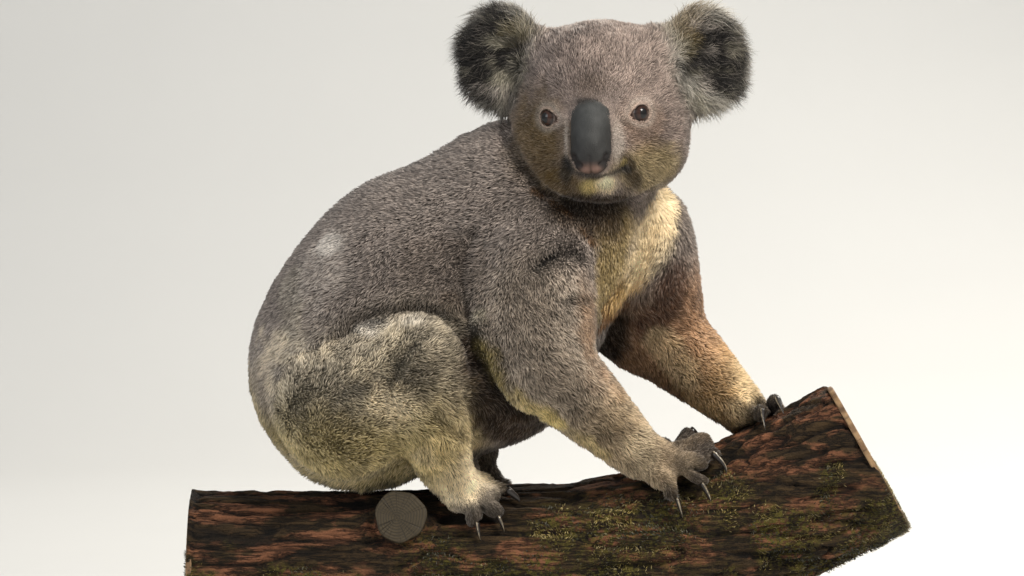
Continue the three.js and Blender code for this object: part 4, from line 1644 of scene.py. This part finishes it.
def shape_nose(nose):
    points = averaged(points_of(nose), edges_of(nose), 0.5, 22)
    move_to(nose, points)
    points = straighten_nose(points + normals_of(nose) * 0.5 * MM)
    left, _, up = on_face(points).T
    nostril, wing = (
        np.max([hill(flat_distance(points, path), width) for path in NOSTRILS.values()], axis=0)
        for width in (2.3, 5.0)
    )
    cleft = hill(flat_distance(points, PHILTRUM), 1.3)
    top_wider = 0.5 * smoothstep(-16, -2, up) * smoothstep(14, 0, up)
    waist = hill(up + 24, 7) * smoothstep(6, 15, np.abs(left - NOSE_MIDDLE))
    pressed = 4.6 * nostril + 0.8 * cleft + 1.0 * waist - 1.2 * wing - top_wider
    move_to(nose, points - normals_of(nose) * (pressed * MM)[:, None])
    move_to(nose, averaged(points_of(nose), edges_of(nose), 0.4, 1))
    nose.data.shade_smooth()
    pinkness = 0.8 * hill(flat_distance(points, PINK_BAND), 4)
    # where painted shade darkens the nostrils and the groove between them
    give(nose, "hollow", np.maximum(nostril, 0.5 * cleft))
    give(nose, "pinkness", pinkness * smoothstep(-30, -40, up))
    give(nose, "height", smoothstep(-50, 12, up))


nose = melt("nose_pad", ["nose"], 0.95 * MM)
shape_nose(nose)
print("nose:", len(nose.data.polygons), "faces")


# %% Nose leather
def nose_material():
    material, tree, shader = start_material("nose leather", Roughness=0.6, Specular_IOR_Level=0.35)
    place = object_place(tree)
    pebbles = add_node(tree, "TexVoronoi", {"Vector": place, "Scale": 1100.0}, output="Distance")
    # The slate's paler clouds are painted highlights, and it darkens towards the bottom of the pad.
    cloud = noise_of(tree, place, 90)
    slate = mix_colours(tree, cloud, rgba(shade(26, 28, 28)), rgba(shade(78, 79, 78)))
    low = mix_colours(tree, value_of(tree, "height"), rgba(shade(26, 24, 23)), slate)
    pink = mix_colours(tree, value_of(tree, "pinkness"), low, rgba(shade(146, 116, 104)))
    # Painted shade deep in the nostrils and in the groove between them.
    tint = mix_colours(tree, value_of(tree, "hollow"), pink, rgba(shade(20, 12, 12)))
    feed(shader, Base_Color=tint)
    grain = maths(tree, "ADD", pebbles, maths(tree, "MULTIPLY", cloud, 0.6))
    feed(shader, Normal=bump(tree, grain, 0.0003, 0.8))
    return material


finish_piece(nose, nose_material(), "nose")

# %% [markdown]
# ## Claws
#
# Each claw is a long hook of dark horn, narrower than it is deep, with a pale highlight painted in
# streaks along its outer curve. Its solid gives the root, the bend and the tip; the new claw is a fine
# tapered tube along the same curve, with its root sunk in the toe.

# %% Claw shape
def tube(name, centres, half_wide, half_deep, deep, sides=14):
    """A closed tube of rings with oval sections. The direction deep is roughly its depth."""
    along = unit(np.gradient(centres, axis=0))
    across = unit(np.cross(along, deep))
    upward = np.cross(across, along)
    turn = np.linspace(0, 2 * np.pi, sides, endpoint=False)
    rings = (
        centres[:, None]
        + across[:, None] * (half_wide[:, None] * np.cos(turn))[:, :, None]
        + upward[:, None] * (half_deep[:, None] * np.sin(turn))[:, :, None]
    )
    count = len(centres)
    low = (np.arange(count - 1) * sides)[:, None] + np.arange(sides)
    next_side = (np.arange(count - 1) * sides)[:, None] + (np.arange(sides) + 1) % sides
    quads = np.stack([low, next_side, next_side + sides, low + sides], axis=-1).reshape(-1, 4)
    caps = [list(range(sides))[::-1], [(count - 1) * sides + k for k in range(sides)]]
    mesh = bpy.data.meshes.new(name)
    mesh.from_pydata(rings.reshape(-1, 3).tolist(), [], quads.tolist() + caps)
    piece = add_object(name, mesh)
    take(piece)
    edit_all()
    bpy.ops.mesh.normals_make_consistent(inside=False)
    bpy.ops.object.mode_set(mode="OBJECT")
    give(piece, "ridge", np.tile(np.sin(turn), count))
    give(piece, "along", np.repeat(np.linspace(0, 1, count), sides))
    mesh.shade_smooth()
    return piece


# %% Claw horn
def claw_material():
    material, tree, shader = start_material("claw horn", Roughness=0.3, Coat_Weight=0.25)
    place = object_place(tree)
    streaks = noise_of(tree, scaled(tree, place, 900, 900, 300), 1.0)
    horn = mix_colours(tree, streaks, rgba(shade(20, 17, 15)), rgba(shade(44, 36, 30)))
    # A pale highlight is painted in streaks along the top of the claw's outer curve.
    edge = spread(tree, value_of(tree, "ridge"), 0.9, 1.0, 0.0, 0.8)
    edge_highlight = maths(tree, "MULTIPLY", edge, spread(tree, streaks, 0.35, 0.6, 0.2, 1.0))
    tint = mix_colours(tree, edge_highlight, horn, rgba(shade(190, 174, 146)))
    feed(shader, Base_Color=tint, Normal=bump(tree, streaks, 0.0002))
    return material


CLAW_HORN = claw_material()


def add_claw(node):
    root, bend, tip = claw_line(node)
    t = np.linspace(-0.12, 1, 13)[:, None]
    centres = (1 - t) ** 2 * root + 2 * t * (1 - t) * bend + t**2 * tip
    taper = np.clip(1 - t[:, 0], 0.03, 1) ** 0.7
    deep = unit(bend - (root + tip) / 2)
    claw = tube(node.replace("claw", "horn"), centres, 2.2 * MM * taper, 3.3 * MM * taper, deep)
    finish_piece(claw, CLAW_HORN, node)


claws = [node for node in NODES if node.startswith("claw_")]
for node in claws:
    add_claw(node)
print("claws:", len(claws))

# %% [markdown]
# ## The branch
#
# Old bark splits into long plates with dark cracks between them. The branch is melted from its
# solid at a finer size and its facets are smoothed away. Cracks and layers are then cut into it,
# and hardly stand out of it, so that the paws still rest on the plates. A raised collar rings the
# sawn knot.

# %% Bark's shape
KNOT_RADIUS = 21 * MM
COLLAR_RADIUS = 28 * MM
COLLAR_WIDTH = 5 * MM
COLLAR_RISE = 5  # millimetres
MOST_RISE = 4  # millimetres that bark may stand out of the solid
KNOT_DEPTH = 26 * MM  # of the bark behind the knot's face that belongs to its near side


def flat_face(node, near):
    """The middle of the solid's flat face that lies nearest to a place, and the way it faces."""
    solid = NODES[node]
    turn = solid.matrix_world.to_3x3()
    faces = [
        (solid.matrix_world @ face.center, turn @ face.normal, face.vertices)
        for face in solid.data.polygons
    ]
    centre, facing, _ = min(faces, key=lambda face: (face[0] - Vector(near)).length)
    flat = [
        solid.matrix_world @ solid.data.vertices[index].co
        for place, normal, vertices in faces
        for index in vertices
        if normal.dot(facing) > 0.999 and abs((place - centre).dot(facing)) < 0.2 * MM
    ]
    points = np.array(flat)
    return (points.min(axis=0) + points.max(axis=0)) / 2, np.array(facing)


KNOT, KNOT_FACING = flat_face("perch_branch", spot("perch_branch", 0.29, 0.03, 0.55))
print("knot:", np.round(KNOT, 3), np.round(KNOT_FACING, 2))
bark = melt("bark", ["perch_branch"], 2.6 * MM)


def middle_height(x):
    """Height of the branch's middle line at x, fitted to its solid."""
    points = points_of(bark)
    away = np.linalg.norm((points - KNOT)[:, [0, 2]], axis=1) > 2 * KNOT_RADIUS
    inner = away & (points[:, 0] > CAD_BOX[0][0] + 0.03) & (points[:, 0] < CAD_BOX[1][0] - 0.09)
    return np.polyval(np.polyfit(points[inner, 0], points[inner, 2], 4), x)


#            the middle of each bed of moss, and how far it reaches in millimetres
MOSS_BEDS = [
    (spot("perch_branch", 0.51, 0.1, 0.5), 24),
    (spot("perch_branch", 0.58, 0.08, 0.5), 36),
    (spot("perch_branch", 0.66, 0.06, 0.53), 36),
    (spot("perch_branch", 0.73, 0.05, 0.62), 26),
    (spot("perch_branch", 0.34, 0.04, 0.38), 24),
]


def from_knot_axis(points):
    away = points - KNOT
    return np.linalg.norm(away - dots(away, KNOT_FACING) * KNOT_FACING, axis=1)


def kept_free(points, from_knot, in_front):
    """0 at the sawn ends and round the knot, which keep the solid's own shape, and 1 elsewhere."""
    low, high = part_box("perch_branch")
    ends = np.minimum(points[:, 0] - low[0], high[0] - 30 * MM - points[:, 0])
    round_knot = np.where(in_front, smoothstep(24 * MM, 32 * MM, from_knot), 1)
    return smoothstep(0, 8 * MM, ends) * round_knot


def bark_relief(points):
    """How deep the bark is cut in millimetres, where its cracks are, and how high its plates."""
    along = points * (0.14, 1, 1)
    winding = along + 4 * MM * np.stack([noise(points, 40 * MM, s) for s in (31, 32, 33)], axis=1)
    cracks = 1 - np.abs(noise(winding, 11 * MM, 34))
    fine = 1 - np.abs(noise(winding, 5 * MM, 35))
    plates = np.floor(2.2 * rough_noise(along, 17 * MM, 36)) / 2.2
    crack = smoothstep(0.80, 0.97, cracks)
    depth = 4.5 * crack + 1.6 * smoothstep(0.75, 0.97, fine) + 1.5 * (0.6 - plates)
    depth = depth + 0.8 * rough_noise(points, 7 * MM, 37)
    return depth, np.maximum(crack, 0.5 * fine), plates


def moss_share(points, above_middle):
    """1 where moss covers the bark: in patches low on the branch, and in the named beds."""
    patches = rough_noise(points, 42 * MM, 41)
    low_down = smoothstep(46 * MM, -30 * MM, above_middle)
    moss = smoothstep(0.0, 0.4, patches + 0.5 * low_down - 0.12) * smoothstep(0.05, 0.3, low_down)
    for place, reach in MOSS_BEDS:
        bed = np.linalg.norm(points - place, axis=1) + 9 * MM * noise(points, 14 * MM, 42)
        moss = np.maximum(moss, hill(bed, reach * MM))
    return moss


def carve_bark():
    points = points_of(bark)
    edges = edges_of(bark)
    line = middle_height(points[:, 0])
    from_knot = from_knot_axis(points)
    in_front = points[:, 1] < KNOT[1] + KNOT_DEPTH
    soft = kept_free(points, from_knot, in_front)
    points = averaged(points, edges, 0.5 * soft, 30)
    move_to(bark, points)
    depth, crack, plates = bark_relief(points)
    collar = hill(from_knot - COLLAR_RADIUS, COLLAR_WIDTH) * in_front
    beyond_knot = np.where(in_front, smoothstep(22 * MM, 27 * MM, from_knot), 1)
    depth = beyond_knot * depth - COLLAR_RISE * collar
    depth = averaged(depth, edges, 0.3, 1) * soft
    move_to(bark, points - normals_of(bark) * (np.maximum(depth, -MOST_RISE) * MM)[:, None])
    give(bark, "crack", crack)
    give(bark, "plate", np.clip(0.5 + 0.5 * plates, 0, 1))
    give(bark, "moss", moss_share(points, points[:, 2] - line))
    bark.data.shade_smooth()


carve_bark()
print("bark:", len(bark.data.polygons), "faces")


# %% Bark material
def bark_material():
    material, tree, shader = start_material("bark", Roughness=0.85, Specular_IOR_Level=0.25)
    place = object_place(tree)
    long = scaled(tree, place, 0.16, 1, 1)
    grain = noise_of(tree, long, 320, 6.0, 0.65)
    patches = noise_of(tree, scaled(tree, place, 0.4, 1, 1), 55, 4.0)
    lumps = noise_of(tree, place, 700, 3.0)
    brown = mix_colours(tree, grain, rgba(shade(20, 15, 8)), rgba(shade(96, 74, 46)))
    red = mix_colours(tree, grain, rgba(shade(64, 38, 24)), rgba(shade(190, 128, 92)))
    plates = mix_colours(tree, spread(tree, patches, 0.5, 0.58), brown, red)
    dark = maths(tree, "MULTIPLY", value_of(tree, "crack"), 0.92)
    cracked = mix_colours(tree, dark, plates, rgba(shade(20, 15, 11)))
    green = mix_colours(tree, lumps, rgba(shade(36, 38, 14)), rgba(shade(122, 110, 48)))
    speckle = spread(tree, noise_of(tree, place, 260, 4.0), 0.44, 0.56)
    mossy = maths(tree, "MULTIPLY", value_of(tree, "moss"), speckle)
    tint = mix_colours(tree, mossy, cracked, green)
    fissures = noise_of(tree, scaled(tree, place, 0.12, 1, 1), 130, 5.0, 0.7)
    thin = maths(tree, "ABSOLUTE", maths(tree, "SUBTRACT", fissures, 0.5))
    tint = mix_colours(tree, spread(tree, thin, 0.0, 0.035, 0.85, 0.0), tint, rgba(shade(16, 12, 9)))
    feed(shader, Base_Color=tint)
    flaky = maths(tree, "ADD", grain, spread(tree, thin, 0.0, 0.05))
    height = maths(tree, "ADD", flaky, maths(tree, "MULTIPLY", lumps, 0.5))
    feed(shader, Normal=bump(tree, height, 0.004, 1.0))
    return material


finish_piece(bark, bark_material(), "perch_branch")


# %% Moss
MOSS_DARK = shade(48, 50, 20)
MOSS_GOLD = shade(158, 138, 70)
MOSS_BLADE = {
    "length": 2.6 * MM,
    "width": 0.8 * MM,
    "rise": 2.8 * MM,
    "sag": 0.4 * MM,
    "curl": 1.0 * MM,
    "pale": 0.3,
    "clump": 0.3,
}


def plan_moss():
    """Short blades that stand up from the mossy bark, dark green below, with golden patches painted as
    highlights.
    """
    points = points_of(bark)
    out = normals_of(bark)
    moss = np.empty(len(points), np.float32)
    bark.data.attributes["moss"].data.foreach_get("value", moss)
    clumps = smoothstep(-0.7, 0.1, noise(points, 7 * MM, 51)) * smoothstep(0.2, 0.75, moss)
    # The golden patches, placed by noise, are painted highlights.
    gold = smoothstep(-0.3, 0.6, noise(points, 14 * MM, 52))[:, None]
    side = unit(np.cross(out, (0.2, 0.1, 1)))
    return {
        "root": points,
        "out": out,
        "lie": unit(side * noise(points, 12 * MM, 53)[:, None] + (0, 0, 0.4)),
        "coat": MOSS_DARK + gold * (MOSS_GOLD - MOSS_DARK),
        "count": 2.1e5 * clumps,
        **{name: np.full(len(points), value) for name, value in MOSS_BLADE.items()},
    }


grow(bark, plan_moss(), "moss", 0, FUR, rng)

# %% [markdown]
# ## Sawn wood
#
# The knot and the two ends of the branch are sawn across, and show growth rings round a pith that
# is a little off the middle. Each is a thin disc let into the end, with its own coordinates.

# %% Sawn faces
DISC_THICKNESS = 5 * MM
DISC_SUNK = 2 * MM  # how far its middle lies inside the branch


def sawn_material(name, dark, light):
    material, tree, shader = start_material(name, Roughness=0.7)
    place = vector_of(tree, "rings")
    bent = add_node(
        tree, "VectorMath", {0: place, 1: noise_of(tree, place, 0.12)}, operation="ADD"
    )
    rings = add_node(
        tree,
        "TexWave",
        {"Vector": bent, "Scale": 0.13, "Distortion": 3.6, "Detail": 3.0, "Detail Scale": 0.6},
        output="Fac",
        wave_type="RINGS",
        rings_direction="Z",
    )
    flat = scaled(tree, place, 1, 1, 0)
    cloud = noise_of(tree, place, 0.25, 4.0)
    wood = mix_colours(tree, rings, rgba(dark), rgba(light))
    wood = mix_colours(tree, maths(tree, "MULTIPLY", cloud, 0.9), wood, rgba(dark * 0.8))
    splits = noise_of(tree, unit_of(tree, flat), 2.4, 2.0)
    near_line = maths(tree, "ABSOLUTE", maths(tree, "SUBTRACT", splits, 0.5))
    fading = spread(tree, length_of(tree, flat), 1, 20, 1.0, 0.4)
    split = maths(tree, "MULTIPLY", spread(tree, near_line, 0.0, 0.014, 1.0, 0.0), fading)
    tint = mix_colours(tree, split, wood, rgba(shade(22, 18, 12)))
    feed(shader, Base_Color=tint)
    height = maths(tree, "SUBTRACT", maths(tree, "MULTIPLY", rings, 0.2), split)
    feed(shader, Normal=bump(tree, height, 0.0012, 0.8))
    return material


def add_sawn_face(name, centre, facing, radius, finish):
    """A disc, bevelled at its edge, that stands half a millimetre out of the end it is let into."""
    bpy.ops.mesh.primitive_cylinder_add(
        vertices=72, radius=radius, depth=DISC_THICKNESS, end_fill_type="TRIFAN"
    )
    disc = bpy.context.object
    disc.name = name
    apply_modifier(disc, "BEVEL", width=1.2 * MM, segments=2, limit_method="ANGLE")
    local = points_of(disc)
    facing = unit(facing)
    across = unit(np.cross((0, 0, 1), facing))
    high = np.cross(facing, across)
    angle = np.arctan2(local[:, 1], local[:, 0])
    wobble = 1 + 0.03 * np.sin(3 * angle + 1) + 0.02 * np.sin(7 * angle)
    shaped = local * np.stack([wobble, wobble, np.ones(len(local))], axis=1)
    move_to(disc, centre - DISC_SUNK * facing + shaped @ np.stack([across, high, facing]))
    give(disc, "rings", local / MM + (0.12 * radius / MM, 0.06 * radius / MM, 0))
    disc.data.materials.append(finish)
    unwrap(disc)
    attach(disc, "root")
    return disc


OLD_WOOD = sawn_material("old sawn wood", shade(44, 34, 14), shade(66, 54, 28))
END_RADIUS = 70 * MM
NEW_WOOD = sawn_material("fresh sawn wood", shade(112, 84, 56), shade(176, 144, 104))
add_sawn_face("sawn_knot", KNOT, KNOT_FACING, KNOT_RADIUS * 1.04, OLD_WOOD)
for name, near in (("sawn_back", (0, 0.5, 0.35)), ("sawn_front", (0.94, 0.5, 0.65))):
    centre, facing = flat_face("perch_branch", spot("perch_branch", *near))
    print(name, np.round(centre, 3), np.round(facing, 2))
    add_sawn_face(name, centre, facing, END_RADIUS, NEW_WOOD)
print("sawn faces: three")

# %% [markdown]
# ## Stand
#
# A plain museum stand: an oiled dark-wood plate with eased edges, and two brushed-steel rods with
# round feet. Both are simple forms, made afresh from primitives at their solids' sizes.

# %% Stand materials
def base_material():
    material, tree, shader = start_material(
        "oiled wood", Roughness=0.4, Coat_Weight=0.2, Coat_Roughness=0.3
    )
    place = object_place(tree)
    long = scaled(tree, place, 0.05, 1, 1)
    rings = add_node(
        tree,
        "TexWave",
        {"Vector": long, "Scale": 14.0, "Distortion": 9.0, "Detail": 4.0, "Detail Scale": 2.0},
        output="Fac",
        bands_direction="Y",
    )
    pores = noise_of(tree, scaled(tree, place, 0.02, 1, 1), 900, 2.0)
    wood = mix_colours(tree, rings, rgba(shade(44, 31, 23)), rgba(shade(84, 60, 43)))
    tint = mix_colours(tree, spread(tree, pores, 0.55, 0.7, 0.0, 0.7), wood, rgba(shade(28, 20, 15)))
    feed(shader, Base_Color=tint, Normal=bump(tree, pores, 0.0003))
    return material


def steel_material():
    material, tree, shader = start_material("brushed steel", Metallic=1.0)
    place = object_place(tree)
    lines = noise_of(tree, scaled(tree, place, 60, 60, 1500), 1.0, 2.0)
    tint = mix_colours(tree, lines, rgba(shade(168, 168, 170)), rgba(shade(196, 196, 198)))
    feed(shader, Base_Color=tint, Roughness=spread(tree, lines, 0.0, 1.0, 0.24, 0.4))
    return material


# %% Stand
BASE_CORNER = 30 * MM
BASE_EDGE = 2 * MM


def add_base():
    low, high = corners("stand_base")
    bpy.ops.mesh.primitive_cube_add(size=1)
    base = bpy.context.object
    base.name = "base"
    move_to(base, middle("stand_base") + points_of(base) * (high - low))
    edges = edges_of(base)
    points = points_of(base)
    upright = np.abs(points[edges[:, 0], 2] - points[edges[:, 1], 2]) > 1 * MM
    take(base)
    bpy.ops.object.mode_set(mode="EDIT")
    bpy.ops.mesh.select_mode(type="EDGE")
    bpy.ops.mesh.select_all(action="DESELECT")
    bpy.ops.object.mode_set(mode="OBJECT")
    base.data.edges.foreach_set("select", upright)
    bpy.ops.object.mode_set(mode="EDIT")
    bpy.ops.mesh.bevel(offset=BASE_CORNER, segments=12)
    bpy.ops.object.mode_set(mode="OBJECT")
    sharp = {"limit_method": "ANGLE", "angle_limit": math.radians(50)}
    apply_modifier(base, "BEVEL", width=BASE_EDGE, segments=3, **sharp)
    finish_piece(base, base_material(), "stand_base")


STEEL = steel_material()
COLLAR_HEIGHT = 8 * MM
ROD_SHARE = 0.45  # a rod's radius, as a share of its collar's


def add_rod(node):
    low, high = corners(node)
    centre = (low + high) / 2
    collar = (high[0] - low[0]) / 2
    bottom = low[2]
    for radius, top in ((collar, bottom + COLLAR_HEIGHT), (ROD_SHARE * collar, high[2])):
        place = (centre[0], centre[1], (bottom + top) / 2)
        bpy.ops.mesh.primitive_cylinder_add(vertices=64, radius=radius, depth=top - bottom)
        part = bpy.context.object
        move_to(part, points_of(part) + place)
        apply_modifier(part, "BEVEL", width=0.8 * MM, segments=2, limit_method="ANGLE")
        part.name = node.replace("stand_", "") + ("_collar" if radius == collar else "")
        finish_piece(part, STEEL, node)


add_base()
for node in ("stand_rod_back", "stand_rod_front"):
    add_rod(node)
print("stand: base, two rods and their collars")
